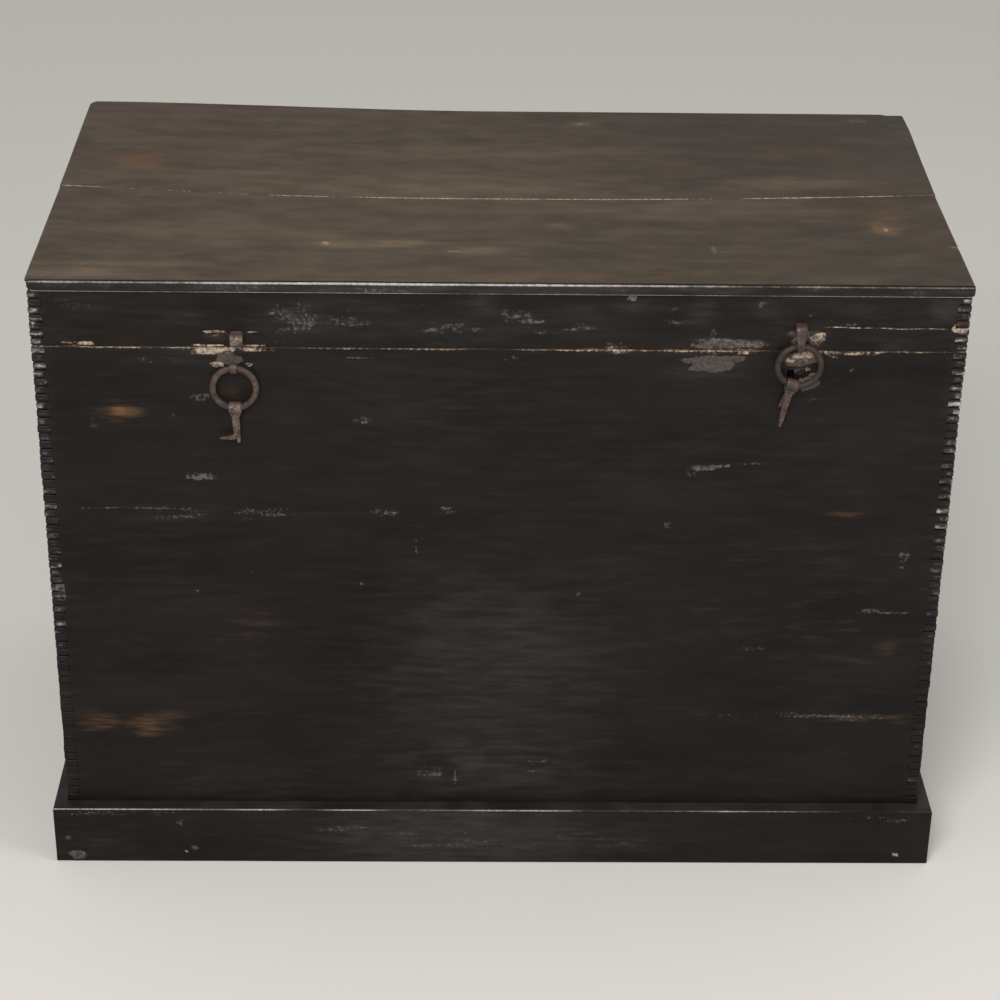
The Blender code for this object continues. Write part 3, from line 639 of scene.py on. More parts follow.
def comb_rows(first, last, base, pitch, own, extra):
    """Heights of a board's rows, and for each row its slot, whether that is a finger, and its distance from
    the slot's nearer edge. extra gives more heights for fine forms.
    """
    heights, slots, fingers, edges = [], [], [], []
    for slot in range(first, last):
        finger = slot % 2 == own
        low = base + slot * pitch + (FIT_GAP if finger or slot == first else -FIT_GAP) / 2
        high = base + (slot + 1) * pitch - (FIT_GAP if finger or slot == last - 1 else -FIT_GAP) / 2
        z = low + (high - low) * (FINGER_ROWS if finger else NOTCH_ROWS)
        z[0] += ROW_STEP if slot > first else 0
        z = np.union1d(z, extra[(extra > low + 2 * ROW_STEP) & (extra < high - 2 * ROW_STEP)])
        heights.append(z)
        slots.append(np.full(len(z), slot))
        fingers.append(np.full(len(z), finger))
        edges.append(np.clip(np.minimum(z - low, high - z), 0, None))
    return [np.concatenate(rows) for rows in (heights, slots, fingers, edges)]


def rounding(distance, radius):
    """How far a quarter-round edge lies below true at a distance from it: radius less height of the circle."""
    return radius * (1 - np.sqrt(np.clip(1 - (1 - np.clip(distance / radius, 0, 1)) ** 2, 0, 1)))


def board_loop(half, spacing, extra):
    """Board seen from above, as places along and depths: outer face, right end, inner face, left end.

    The third list is 1 where the wood is bare, on the inner face between the shoulders.
    """
    shoulder = half - WALL - FIT_GAP
    main = np.union1d(np.linspace(-shoulder, shoulder, round(2 * shoulder / spacing) + 1), extra)
    finger = shoulder + (half - END_ROUND - shoulder) * np.array([0.05, 0.2, 0.4, 0.6, 0.8, 1])
    outer = np.concatenate([-finger[::-1], main, finger])
    turn = np.radians([30, 60, 90])
    end_along, inner_along = (half - radius * (1 - np.sin(turn)) for radius in (END_ROUND, INNER_ROUND))
    end_depth, inner_depth = (radius * (1 - np.cos(turn)) for radius in (END_ROUND, INNER_ROUND))
    inner = np.linspace(shoulder, -shoulder, round(2 * half / INNER_SPACING) + 1)
    inner = np.concatenate([[half - INNER_ROUND], inner, [INNER_ROUND - half]])
    across = WALL * np.linspace(0.2, 0.85, 5)
    along = np.concatenate([outer, end_along, 0 * across + half, inner_along[::-1], inner])
    depth = np.concatenate([0 * outer, end_depth, across, WALL - inner_depth[::-1], 0 * inner + WALL])
    ends = np.arange(len(outer), len(outer) + 2 * len(turn) + len(across))
    along = np.concatenate([along, -along[ends[::-1]]])
    depth = np.concatenate([depth, depth[ends[::-1]]])
    bare = (depth > WALL - ROW_STEP) & (along < shoulder + ROW_STEP) & (along > ROW_STEP - shoulder)
    return along, depth, bare.astype(np.int32)


def on_wall(side, along, depth, height):
    """World points from places along a wall, depths in from its face and heights, turned to its side."""
    turn, _half, reach, _own = WALLS[side]
    out = reach - depth
    cos, sin = math.cos(turn), math.sin(turn)
    return joined(cos * along + sin * out, sin * along - cos * out, height)


def corner_wear(slots, height, seed):
    """Wear of each finger at a corner, from 0 to 1: its own random share, times slow noise along the corner,
    times a ramp that leaves the lower third least worn.
    """
    share = np.random.default_rng(seed).uniform(0.72, 1.0, FINGERS)[slots]
    stretch = 0.85 + 0.30 * lattice_noise(height / (60 * MM), 0 * height + seed, seed)
    return np.clip(share * stretch * (0.35 + 0.65 * ease((height - 200 * MM) / (200 * MM))), 0, 1)


def make_board(node, side, base, pitch, first, last, marks, seed, worn_low, worn_high, split=None, pit=None):
    """Finger-jointed board: its loop from above is carried up row by row, and each row reaches the corner in
    its fingers and stops at the shoulder between them. Faces wander a little, edges are rounded and chipped.

    worn_low and worn_high give the rounding of the lower and upper edge in millimetres, split a crack along
    the board, and pit the middle and half sizes of an empty hole.
    """
    _turn, half, _reach, own = WALLS[side]
    extra_rows, extra_columns = np.array([]), np.array([])
    if split:
        extra_rows = np.arange(SPLIT_HEIGHT - 4, SPLIT_HEIGHT + 4, 0.7) * MM
    if pit:
        rims = np.array([-PIT_RIM, -1, 1, PIT_RIM])
        extra_columns = (pit[0] + pit[2] * rims) * MM
        extra_rows = (pit[1] + pit[3] * rims) * MM
    heights, slots, fingers, edges = comb_rows(first, last, base, pitch, own, extra_rows)
    along, depth, bare = board_loop(half, GRID[side], extra_columns)
    shoulder = half - WALL - FIT_GAP
    beyond = np.clip((np.abs(along) - shoulder) / (half - shoulder), 0, 1)
    draw = np.random.default_rng(seed)
    worn = corner_wear(slots, heights, seed + 11)
    rounds = rounding(edges, FINGER_ROUND[0] + (FINGER_ROUND[1] - FINGER_ROUND[0]) * worn) * fingers
    push = draw.uniform(-0.20, 0.55, FINGERS)[slots] * MM
    short = draw.uniform(-0.25, 0.60, FINGERS)[slots] * MM
    reach = np.where(fingers, half - shoulder - short - rounds, NOTCH_STEP)
    s = np.sign(along) * (np.minimum(np.abs(along), shoulder) + beyond * reach[:, None])
    z = np.broadcast_to(heights[:, None], s.shape)
    u, v = s / MM, z / MM
    field = wear_field(marks, u, v, seed)
    low, high = heights[0], heights[-1]
    ragged_edge = (1 + 0.5 * lattice_noise(u / 18, 0 * v + seed, seed + 3)) * MM
    sink = rounding(z - low, worn_low * ragged_edge) + rounding(high - z, worn_high * ragged_edge)
    wander = 0.16 * rough_noise(u / 120, v / 60, seed + 5) + 0.05 * rough_noise(u / 30, v / 9, seed + 6)
    sink = sink + (wander + field["dent"]) * MM
    if split:
        step, lip = split(u, v)
        sink = sink + step * MM
        raise_wear(field, "bare", lip)
    if pit:
        rim = (1 + PIT_RIM) / 2
        inside = (np.abs(u - pit[0]) < rim * pit[2]) & (np.abs(v - pit[1]) < rim * pit[3])
        sink = sink + np.where(inside, PIT_DEPTH * WALL, 0)
    on_fingers = beyond * fingers[:, None]
    sink = sink + np.minimum(1, 3 * on_fingers) * (rounds + push)[:, None]
    is_outer = depth < WALL / 2 - MM
    d = np.where(is_outer, depth + sink, depth)
    rub_and_highlight = 0.5 + 0.5 * rough_noise(u / 26, v / 26, seed + 8)
    for distance, worn_edge in ((z - low, worn_low), (high - z, worn_high)):
        line = np.exp(-distance / EDGE_LINE) * ease(worn_edge / 0.6)
        polish = bell(distance, 0, POLISH_LINE) * ease(worn_edge / 0.8)
        raise_wear(field, "scuff", line * (0.15 + 0.65 * rub_and_highlight))
        raise_wear(field, "bare", polish * (0.34 + 0.40 * rub_and_highlight))
    # Worn fingers get their wear strongest across the middle of each finger, where its rounded face meets the
    # lamp; the rub there is a painted highlight over the real wear of the corner
    crown = ease((edges / pitch - 0.06) / 0.28)
    inward = draw.uniform(0.0, 0.30, FINGERS)[slots][:, None]
    block = (worn * (0.15 + 0.85 * crown))[:, None] * ease((on_fingers - inward) / 0.35)
    grit = rough_noise((u + depth / MM) / 6, v / 1.8, seed + 12)
    near_corner = ease(1 - (half - np.abs(s)) / (2.2 * WALL)) * worn[:, None]
    raise_wear(field, "dust_and_sheen", 0.9 * block, 0.55 * near_corner)
    raise_wear(field, "scuff", block * (0.84 + 0.35 * grit))
    raise_wear(field, "rub_and_highlight", block * (0.56 + 0.75 * grit) - 0.05)
    raise_wear(field, "bare", (block - 0.60) * (0.5 + 0.8 * grit))
    open_edges = (worn_low > GLUED_ROUND, worn_high > GLUED_ROUND)
    mesh = skin_mesh(node, on_wall(side, s, d, z), wear=field, finish=bare, cap=open_edges)
    dress(node, mesh, "black_lacquer", black_lacquer, wall_wood)


def rim_split(u, v):
    """Split along the right half of the lid's front rim: how far the wood above it has shrunk back, in
    millimetres, and how pale the lip below it is.
    """
    line = SPLIT_HEIGHT + 0.5 * np.sin(u / 23) + 0.3 * np.sin(u / 7)
    reach = ease((u - SPLIT_START) / 24)
    above = (v > line) * np.exp(-np.clip(v - line, 0, None) / 9)
    lip = np.exp(-np.abs(v - line + 0.5) / 0.7) * (0.75 + 0.25 * lattice_noise(u / 14, 0 * v, 77))
    return reach * above, reach * lip


def make_case():
    """Twelve boards of the four walls. Glue lines hardly show, and the top edge is worn."""
    for number, (side, (_turn, half, _reach, _own)) in enumerate(WALLS.items()):
        for index, label in enumerate(("bottom", "middle", "top")):
            node = f"{side}_board_{label}"
            low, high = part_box(node)
            first = round((low.z - CASE_BASE) / FINGER_PITCH)
            last = round((high.z - CASE_BASE) / FINGER_PITCH)
            seed = 100 * number + 10 * index + 7
            marks = FRONT_MARKS
            if side != "front":
                marks = scattered_marks(seed, half / MM, low.z / MM, high.z / MM)
            worn_high = TOP_EDGE if label == "top" else GLUED_EDGE
            pit = LOST_EYE if node == "front_board_top" else None
            make_board(node, side, CASE_BASE, FINGER_PITCH, first, last, marks, seed,
                       GLUED_EDGE, worn_high, pit=pit)


def make_rims():
    """Four boards of the lid rim, worn along their lower edge."""
    for number, (side, (_turn, half, _reach, _own)) in enumerate(WALLS.items()):
        seed = 500 + 10 * number
        marks, split = RIM_MARKS, rim_split
        if side != "front":
            marks, split = scattered_marks(seed, half / MM, LID_BASE / MM, LID_TOP / MM), None
        make_board(f"lid_rim_{side}", side, LID_BASE, LID_PITCH, 0, LID_FINGERS, marks, seed,
                   RIM_LOW, RIM_HIGH, split=split)


# Flat boards with worn arrises

# Most rounding of lower edges, spacing of points on both kinds of board, and rounding of the bottom boards
UNDER_ROUND = 1.6 * MM
LID_SPACING = 2.6 * MM
BOTTOM_SPACING, BOTTOM_ARRIS = 9 * MM, 0.8 * MM


def rounded_section(low, high, radii, spacing, inset):
    """Board's section, once for each inset, as two coordinates from its top face round.

    radii are those of the top's low and high side; an arc that is smaller than the inset shrinks to a corner.
    Returns both coordinates and, for each point, the unit direction that points outwards.
    """
    inset = inset[:, None]
    quarter = np.radians(np.linspace(0, 90, 8))
    corner = joined(np.sin(quarter), np.cos(quarter))
    first, last = low[0] + radii[0], high[0] - radii[1]
    span = np.linspace(first, last, max(2, round((high[0] - low[0]) / spacing)))[1:-1]
    span = np.union1d(span, (first + EDGE_LINE, last - EDGE_LINE))
    across = [np.clip(span, low[0] + np.maximum(radii[0], inset), high[0] - np.maximum(radii[1], inset))]
    level = [high[1] - inset + 0 * span]
    normal = [np.tile((0.0, 1.0), (len(span), 1))]
    under = [min(radius, UNDER_ROUND) for radius in radii]
    for turn, radius in ((corner, radii[1]), (corner[::-1] * (1, -1), under[1]),
                         (corner * (-1, -1), under[0]), (corner[::-1] * (-1, 1), radii[0])):
        side, height = np.sign(turn.sum(axis=0))
        reach = np.maximum(radius, inset)
        left = reach - inset
        across.append((high[0] if side > 0 else low[0]) - side * reach + left * turn[:, 0])
        level.append((high[1] if height > 0 else low[1]) - height * reach + left * turn[:, 1])
        normal.append(turn)
    return np.concatenate(across, axis=1), np.concatenate(level, axis=1), np.concatenate(normal)


def make_plank(node, spacing, radii, slot, field, finishes):
    """Board along X: a rounded section carried along it and drawn in over the last millimetres of each end.

    field takes places along and across in millimetres and the tilt of the surface from level in degrees, and
    gives the wear, how far the top lies below true, and how far points lie in from their true place along and
    across. finishes are those of the top, the edges and the underside.
    """
    low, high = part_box(node)
    radius = max(radii)
    turn = np.radians(np.linspace(0, 90, 7))
    body = np.linspace(low.x + radius, high.x - radius, round((high.x - low.x) / spacing))[1:-1]
    end = radius * (1 - np.cos(turn))
    x = np.concatenate([low.x + end, body, high.x - end[::-1]])
    inset = np.concatenate([radius * (1 - np.sin(turn)), 0 * body, radius * (1 - np.sin(turn))[::-1]])
    y, z, normal = rounded_section((low.y, low.z), (high.y, high.z), radii, spacing, inset)
    x = np.broadcast_to(x[:, None], y.shape)
    tilt = np.degrees(np.arccos(np.clip(normal[:, 1] * np.cos(inset[:, None] / radius), -1, 1)))
    wear = field(x / MM, y / MM, tilt)
    z = z - wear.pop("sink") * MM * (z - low.z) / (high.z - low.z)
    points = joined(x - wear.pop("pull") * MM, y - wear.pop("drift") * MM, z)
    faced = normal[:, 1] + np.roll(normal[:, 1], -1)
    covered = np.abs(x[:-1]) < HALF_WIDTH - WALL
    finish = np.where(faced > 1.9, 0, np.where(covered & (faced < -1.95), 2, 1))
    dress(node, skin_mesh(node, points, wear=wear, finish=finish, cap=1), slot, *finishes)


# Lid in millimetres: its seam, edges and half length
LID_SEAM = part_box("lid_top_front")[1].y / MM
LID_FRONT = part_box("lid_top_front")[0].y / MM
LID_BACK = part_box("lid_top_back")[1].y / MM
LID_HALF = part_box("lid_top_back")[1].x / MM
# Sag of its boards, bow and slant of the seam, and how far the right end runs wide at the back
LID_SAG, SEAM_BOW, SEAM_SLANT, LID_FLARE = 4.5, 9.0, 9.0, 6.0
# Rounding of the front edge, the seam and the back edge, and of the back and front corner at each end
LID_ARRIS, SEAM_ARRIS, BACK_ARRIS = 3.5, 0.4, 1.4
LEFT_CORNERS, RIGHT_CORNERS = (11.0, 10.0), (4.0, 4.0)
# How far from each end its corners start to turn
CORNER_RUN = 40
# Lines along the rounded front edge, as tilt of their middle and reach in degrees: a painted
# highlight laid on as rub, a painted sheen laid on as haze, and a second painted highlight laid on as
# rub, each over some real wear
FRONT_LINES = ((62, 22), (95, 30), (128, 26))


def lid_form(u, v, dent):
    """How far the lid boards lie out of true, in millimetres: down, along and across.

    They sag between their ends, and the back one has lifted at its left corner and runs wide at its right.
    """
    bow = np.clip(1 - (u / LID_HALF) ** 2, 0, 1)
    to_back = ease((v - LID_SEAM) / (LID_BACK - LID_SEAM))
    sag = LID_SAG * bow * ease((v - LID_FRONT) / 190)
    warp = (8.0 * ease((u + 450) / 430) - 4.0 - LID_SAG * bow) * to_back
    waves = 0.22 * rough_noise(u / 160, v / 50, 33) + 0.06 * rough_noise(u / 60, v / 6, 34)
    chip = ease((v - 205) / 8) * ease((u - (LID_HALF - 22)) / 6)
    pull = np.zeros(u.shape)
    for sign, corners in ((-1, LEFT_CORNERS), (1, RIGHT_CORNERS)):
        near_end = sign * ease((sign * u - LID_HALF + CORNER_RUN) / CORNER_RUN)
        for from_edge, radius in zip((LID_BACK - v, v - LID_FRONT), corners):
            past = np.clip(radius - from_edge, 0, radius)
            pull = pull + near_end * (radius - np.sqrt(radius**2 - past**2))
    flare = LID_FLARE * to_back * ease((u - LID_HALF + CORNER_RUN) / CORNER_RUN)
    return {"sink": sag + warp + waves + 0.5 * dent + 1.2 * chip,
            "pull": pull - flare + 0.6 * chip * rough_noise(v / 9, u / 9, 38),
            "drift": (SEAM_BOW * bow - SEAM_SLANT * ease(-(u + 200) / 250)) * bell(v, LID_SEAM, 70)}


def lid_wear_and_painted_light(u, v, tilt):
    """Wear and form of the lid boards: colour lighter towards the front and left, two painted highlights
    along the rounded front edge laid on as rubbed wear, a painted sheen on the band between them, a pale
    seam, patches and worn edges.
    """
    field = wear_field(TOP_MARKS, u, v, 31)
    # Haze over the lid's top, lighter towards the front and left and less towards the back and right
    dark = ease((u + 150) / 500) * (0.45 + 0.55 * ease((v - LID_SEAM + 60) / 220))
    lighter_front_left = 0.36 * (1 - dark) * (tilt < 40)
    field["dust_and_sheen"] = 1 - (1 - field["dust_and_sheen"]) * (1 - lighter_front_left)
    rub_and_highlight = rough_noise(u / 60, 0 * v + 5, 35)
    fine = rough_noise(u / 9, 0 * v + 3, 37)
    front = v < LID_FRONT + LID_ARRIS + 0.1
    upper, flat, lower = (front * np.clip(1.4 - np.abs(tilt - middle) / reach, 0, 1)
                          for middle, reach in FRONT_LINES)
    outer = np.minimum(np.minimum(LID_BACK - v, LID_HALF - u), LID_HALF + u)
    arris = np.clip(1 - outer / 3, 0, 1)
    bright = (bell(u, 60, 170) + 0.8 * bell(u, 330, 110) + 0.6 * bell(u, -420, 30)
              - 0.8 * bell(u, -320, 60) - bell(u, 235, 28))
    seam = np.clip(1.3 - np.abs(v - LID_SEAM) / 1.7, 0, 1)
    # Painted sheen on the band between the two lines, and painted highlights along the rounded front edge at
    # the tilts that face the lamp, laid over real scuffs and rubbed wear
    raise_wear(field, "dust_and_sheen", flat * (0.35 + 0.60 * bell(u, -20, 300) + 0.3 * rub_and_highlight))
    raise_wear(field, "scuff", flat * (0.24 + 0.25 * rub_and_highlight + 0.10 * fine), arris * (0.20 + 0.30 * rub_and_highlight))
    raise_wear(field, "rub_and_highlight", upper * (0.48 + 0.42 * bell(u, -80, 240) + 0.08 * fine + 0.14 * rub_and_highlight),
               lower * (0.80 + 0.12 * fine + 0.20 * rub_and_highlight))
    raise_wear(field, "bare", seam * (0.60 + 0.30 * bright + 0.25 * rough_noise(u / 40, 0 * v + 4, 36)))
    return {**field, **lid_form(u, v, field["dent"])}


def floor_wear(u, v, _tilt):
    """Slight wander of the bottom boards."""
    return {"sink": 0.15 * rough_noise(u / 150, v / 30, 41), "pull": 0 * u, "drift": 0 * u}


def make_flat_boards():
    """Lid boards and bottom boards."""
    lid_finishes = (lid_lacquer_and_sheen, black_lacquer, floor_wood)
    for label, radii in (("front", (LID_ARRIS, SEAM_ARRIS)), ("back", (SEAM_ARRIS, BACK_ARRIS))):
        radii = [radius * MM for radius in radii]
        make_plank(f"lid_top_{label}", LID_SPACING, radii, "worn_lid_lacquer", lid_wear_and_painted_light, lid_finishes)
    radii = (BOTTOM_ARRIS, BOTTOM_ARRIS)
    for label in ("front", "middle", "back"):
        make_plank(f"bottom_board_{label}", BOTTOM_SPACING, radii, "bare_wood", floor_wear, (floor_wood,) * 3)


# Plinth

PLINTH_SPACING = 3.5 * MM
# Rounding of the foot and shoulder, how far the ledge falls, and the play at each mitre
PLINTH_FOOT, PLINTH_SHOULDER, PLINTH_FALL = 2 * MM, 2.2 * MM, 0.6 * MM
PLINTH_PLAY = 0.8 * FIT_GAP


def plinth_section(out, top):
    """Section as distance out and height: foot, plain face, rounded shoulder, sloping ledge and back."""
    chest = top - PLINTH_FALL - PLINTH_SHOULDER
    shoulder = arc(out - PLINTH_SHOULDER, chest, PLINTH_SHOULDER, 0, math.radians(75), 9)
    return np.concatenate([
        joined(np.linspace(FIT_GAP, out - PLINTH_FOOT, 4)[:-1], 0),
        arc(out - PLINTH_FOOT, PLINTH_FOOT, PLINTH_FOOT, -math.pi / 2, 0, 5),
        joined(out, np.linspace(PLINTH_FOOT, chest, 24)[1:-1]),
        shoulder,
        np.linspace(shoulder[-1], (FIT_GAP, top), 6)[1:],
        joined(FIT_GAP, np.linspace(top, 0, 5)[1:-1]),
    ])


def make_plinth():
    """Four mitred rails: the section is carried along the wall, and each point runs as far past the wall's
    end as it stands out.
    """
    for number, (side, (_turn, half, reach, _own)) in enumerate(WALLS.items()):
        node = f"plinth_{side}"
        low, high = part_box(node)
        faces = (low.x, high.x) if side in ("left", "right") else (low.y, high.y)
        out = max(abs(face) for face in faces) - reach
        stands, height = plinth_section(out, high.z).T
        share = np.linspace(-1, 1, round(2 * half / PLINTH_SPACING))
        along = share[:, None] * (half + stands - PLINTH_PLAY)
        u, v = along / MM, np.broadcast_to(height, along.shape) / MM
        seed = 700 + 10 * number
        marks = PLINTH_MARKS if side == "front" else scattered_marks(seed, half / MM, 8, 0.8 * high.z / MM)
        field = wear_field(marks, u, v, seed)
        # Painted highlight: pale rub along the rounded arris of the shoulder, where it faces the lamp, over a
        # real worn line
        arris = bell(np.hypot(stands - out + 0.3 * MM, height - high.z + 1.8 * MM), 0, 1.1 * MM)
        line = 0.58 + 0.20 * lattice_noise(u / 50, 0 * v + 2, seed + 1) - 0.15 * ease((u - 100) / 250)
        raise_wear(field, "rub_and_highlight", arris * line)
        raise_wear(field, "dust_and_sheen", 0.6 * ease((height - high.z + 1.2 * MM) / (0.6 * MM)))
        face = np.clip((stands - FIT_GAP) / MM, 0, 1)
        wander = (0.18 * rough_noise(u / 140, v / 40, seed + 2) + 0.3 * field["dent"]) * MM * face
        points = on_wall(side, along, wander - stands, height)
        dress(node, skin_mesh(node, points, wear=field), "black_lacquer", black_lacquer)


# Forged iron

# Thickness of the strap, gap between its two legs, its tightest bend, and spacing of its rings of points
STRAP = 1.6 * MM
STRAP_SPLIT = 0.4 * MM
STRAP_BEND = 1.4 * MM
STRAP_STEP = 0.45 * MM
# Power that eases the strap's section between a rectangle (0) and an ellipse (1)
STRAP_EASE = 0.55
# Clinched end inside the wall, and play of rings in eyes, of pegs on rings and of rings before the wall
CLINCH = 10 * MM
EYE_PLAY = 0.6 * MM
PEG_PLAY = 1.2 * MM
WALL_CLEAR = 0.8 * MM
LEG_OFFSET = (STRAP + STRAP_SPLIT) / 2


def resample(stations, step):
    """Stations of a path at even steps of its length, with their other columns carried along."""
    length = np.concatenate([[0], np.cumsum(np.linalg.norm(np.diff(stations[:, :3], axis=0), axis=1))])
    even = np.linspace(0, length[-1], round(length[-1] / step) + 1)
    return joined(*(np.interp(even, length, column) for column in stations.T))


def strap_mesh(name, stations, seed):
    """Flat forged strap: an eased rectangle carried along stations of x, y, z, width and lean of the width.

    The hammer leaves its width, thickness and skin a little uneven.
    """
    stations = resample(stations, STRAP_STEP)
    place, width, lean = stations[:, :3], stations[:, 3], stations[:, 4]
    tangent = unit(np.gradient(place, axis=0))
    across = joined(np.cos(lean), 0, np.sin(lean))
    across = unit(across - tangent * np.sum(across * tangent, axis=-1, keepdims=True))
    normal = np.cross(tangent, across)
    angle = circle(20)
    side, face = (np.sign(wave) * np.abs(wave) ** STRAP_EASE for wave in (np.cos(angle), np.sin(angle)))
    run = np.arange(len(place)) * STRAP_STEP / MM
    broad = width * (1 + 0.05 * lattice_noise(run / 5, 0 * run + seed, seed))
    thick = STRAP * (0.94 + 0.05 * lattice_noise(run / 3, 0 * run + seed, seed + 1))
    skin = 1 + 0.05 * lattice_noise(run[:, None] / 2, angle[None, :] * 2, seed + 2)
    points = (place[:, None] + across[:, None] * (broad[:, None] / 2 * side * skin)[..., None]
              + normal[:, None] * (thick[:, None] / 2 * face * skin)[..., None])
    return skin_mesh(name, points)


def clinched_leg(height, sign):
    """Strap leg through the wall and bent flat behind it, as distance out and height, from tip to face."""
    depth = WALL + FIT_GAP + STRAP / 2
    rise = height + sign * STRAP_BEND
    bend = arc(STRAP_BEND - depth, rise, STRAP_BEND, math.pi, math.pi + sign * math.pi / 2, 6)
    return np.concatenate([[(-depth, rise + sign * CLINCH)], bend, [(0, height)]])


def eye_loop(radius, standoff, drop):
    """Loop of an eye: round in front of its hole, or hanging below it by the drop."""
    if drop == 0:
        neck = math.pi - math.asin(LEG_OFFSET / radius)
        return arc(standoff, 0, radius, neck, -neck, 30)
    front, behind = standoff + radius, standoff - radius
    return np.concatenate([
        arc(front - radius, drop + LEG_OFFSET - radius, radius, math.pi / 2, 0, 8),
        arc(standoff, 0, radius, 0, -math.pi, 20),
        arc(behind - STRAP_BEND, drop - LEG_OFFSET - STRAP_BEND, STRAP_BEND, 0, math.pi / 2, 5),
    ])


def make_eye(node, side, along, height, radius, standoff, drop, width, tip_width, seed, metal=iron):
    """Eye of bent strap on a wall, at the height of the axis that hangs in it, its legs clinched inside."""
    loop = eye_loop(radius, standoff, drop)
    upper, lower = (clinched_leg(drop + sign * LEG_OFFSET, sign) for sign in (1, -1))
    path = np.concatenate([upper, loop, lower[::-1]])
    out, rise = path[:, 0], path[:, 1]
    lowest = loop[:, 1].min()
    share = np.where(out <= 0, 0, np.clip((drop - rise) / (drop - lowest), 0, 1))
    mesh = strap_mesh(node, joined(0, -out, rise, width + (tip_width - width) * share, 0), seed)
    turn, _half, reach, _own = WALLS[side]
    mesh.transform(Matrix.Rotation(turn, 4, "Z") @ Matrix.Translation((along, -reach, height)))
    dress(node, mesh, "wrought_iron", metal)


def make_ring(node, metal, seed):
    """Hand-forged ring: a circle of wire carried round a larger one; noise and three slow swells vary it."""
    low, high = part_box(node)
    center = (low + high) / 2
    wire = (high.y - low.y) / 2
    radius = (high.x - low.x) / 2 - wire
    t, a = np.meshgrid(circle(128), circle(24), indexing="ij")
    dents = 0.045 * lattice_noise(t * 32 / np.pi, a * 4 / np.pi, seed) + 0.035 * np.cos(3 * t + seed)
    r = wire * (0.97 + dents)
    out = radius + r * np.cos(a)
    points = joined(center.x + out * np.sin(t), center.y + r * np.sin(a), center.z + out * np.cos(t))
    dress(node, skin_mesh(node, points, ring=True), "wrought_iron", metal)
    return center, radius, wire


# Widths of a peg's strap from its eye to its tip, and of the hook, which falls a little towards its tip
PEG_EYE_WIDTH, PEG_LEG_WIDTH = 12 * MM, 7.5 * MM
PEG_MIDDLE_WIDTH, PEG_TIP_WIDTH = 5.2 * MM, 2.6 * MM
HOOK_WIDTH, HOOK_TIP_WIDTH, HOOK_FALL = 4.5 * MM, 1.9 * MM, 0.8 * MM
# Left peg: its hooked leg, how much longer the straight one is and how far it leans, reach and bend of hook
LEFT_PEG, LEFT_SPUR, LEFT_SHIFT, LEFT_HOOK, LEFT_BEND = 32 * MM, 6 * MM, 2.5 * MM, 16 * MM, 3.8 * MM
# Right peg: its long and short leg, how far each leans, and how far round its ring it hangs
RIGHT_PEG, RIGHT_SHORT_LEG, RIGHT_SPLAY = 45.5 * MM, 26 * MM, 3.5 * MM
RIGHT_TURN = math.radians(16)
# How far the lid eyes hang below their holes, and the widths of the eyes, the right one narrowing downwards
LEFT_EYE_DROP, RIGHT_EYE_DROP = 5.5 * MM, 19.5 * MM
CASE_EYE, LEFT_EYE, RIGHT_EYE, RIGHT_EYE_TIP = 6 * MM, 12 * MM, 10 * MM, 6 * MM


def straight_leg(length, shift, neck):
    """Peg leg that narrows to its tip and stands off sideways: x, z, width and lean at its stations."""
    return np.array([(0, -neck, PEG_LEG_WIDTH, 0), (0.6 * shift, -0.75 * length, PEG_MIDDLE_WIDTH, 0),
                     (shift, -length, PEG_TIP_WIDTH, 0)])


def hooked_leg(neck):
    """Peg leg that ends in a sideways hook: straight down, a quarter circle, then straight to its tip."""
    turn = np.linspace(0, np.pi / 2, 8)
    rise = LEFT_BEND * (1 - np.sin(turn))
    bend = joined(LEFT_BEND * (np.cos(turn) - 1), rise - LEFT_PEG, HOOK_WIDTH, -turn)
    tip = (-LEFT_HOOK, -LEFT_PEG - HOOK_FALL, HOOK_TIP_WIDTH, -np.pi / 2)
    return np.concatenate([[(0, -neck, PEG_LEG_WIDTH, 0)], bend, [tip]])


def make_peg(node, wire, place, turn, rear, front, seed, metal):
    """Split peg: one strap looped over the ring's wire, whose two legs hang one behind the other."""
    radius = wire + PEG_PLAY + STRAP / 2
    neck = math.asin(LEG_OFFSET / radius)
    loop = arc(0, 0, radius, -math.pi / 2 - neck, neck - 5 * math.pi / 2, 30)
    over = joined(0, -loop[:, 0], loop[:, 1], PEG_EYE_WIDTH, 0)
    behind = np.insert(rear(2 * radius)[::-1], 1, LEG_OFFSET, axis=1)
    ahead = np.insert(front(2 * radius), 1, -LEG_OFFSET, axis=1)
    mesh = strap_mesh(node, np.concatenate([behind, over, ahead]), seed)
    mesh.transform(Matrix.Translation(place) @ Matrix.Rotation(turn, 4, "Y"))
    dress(node, mesh, "wrought_iron", metal)


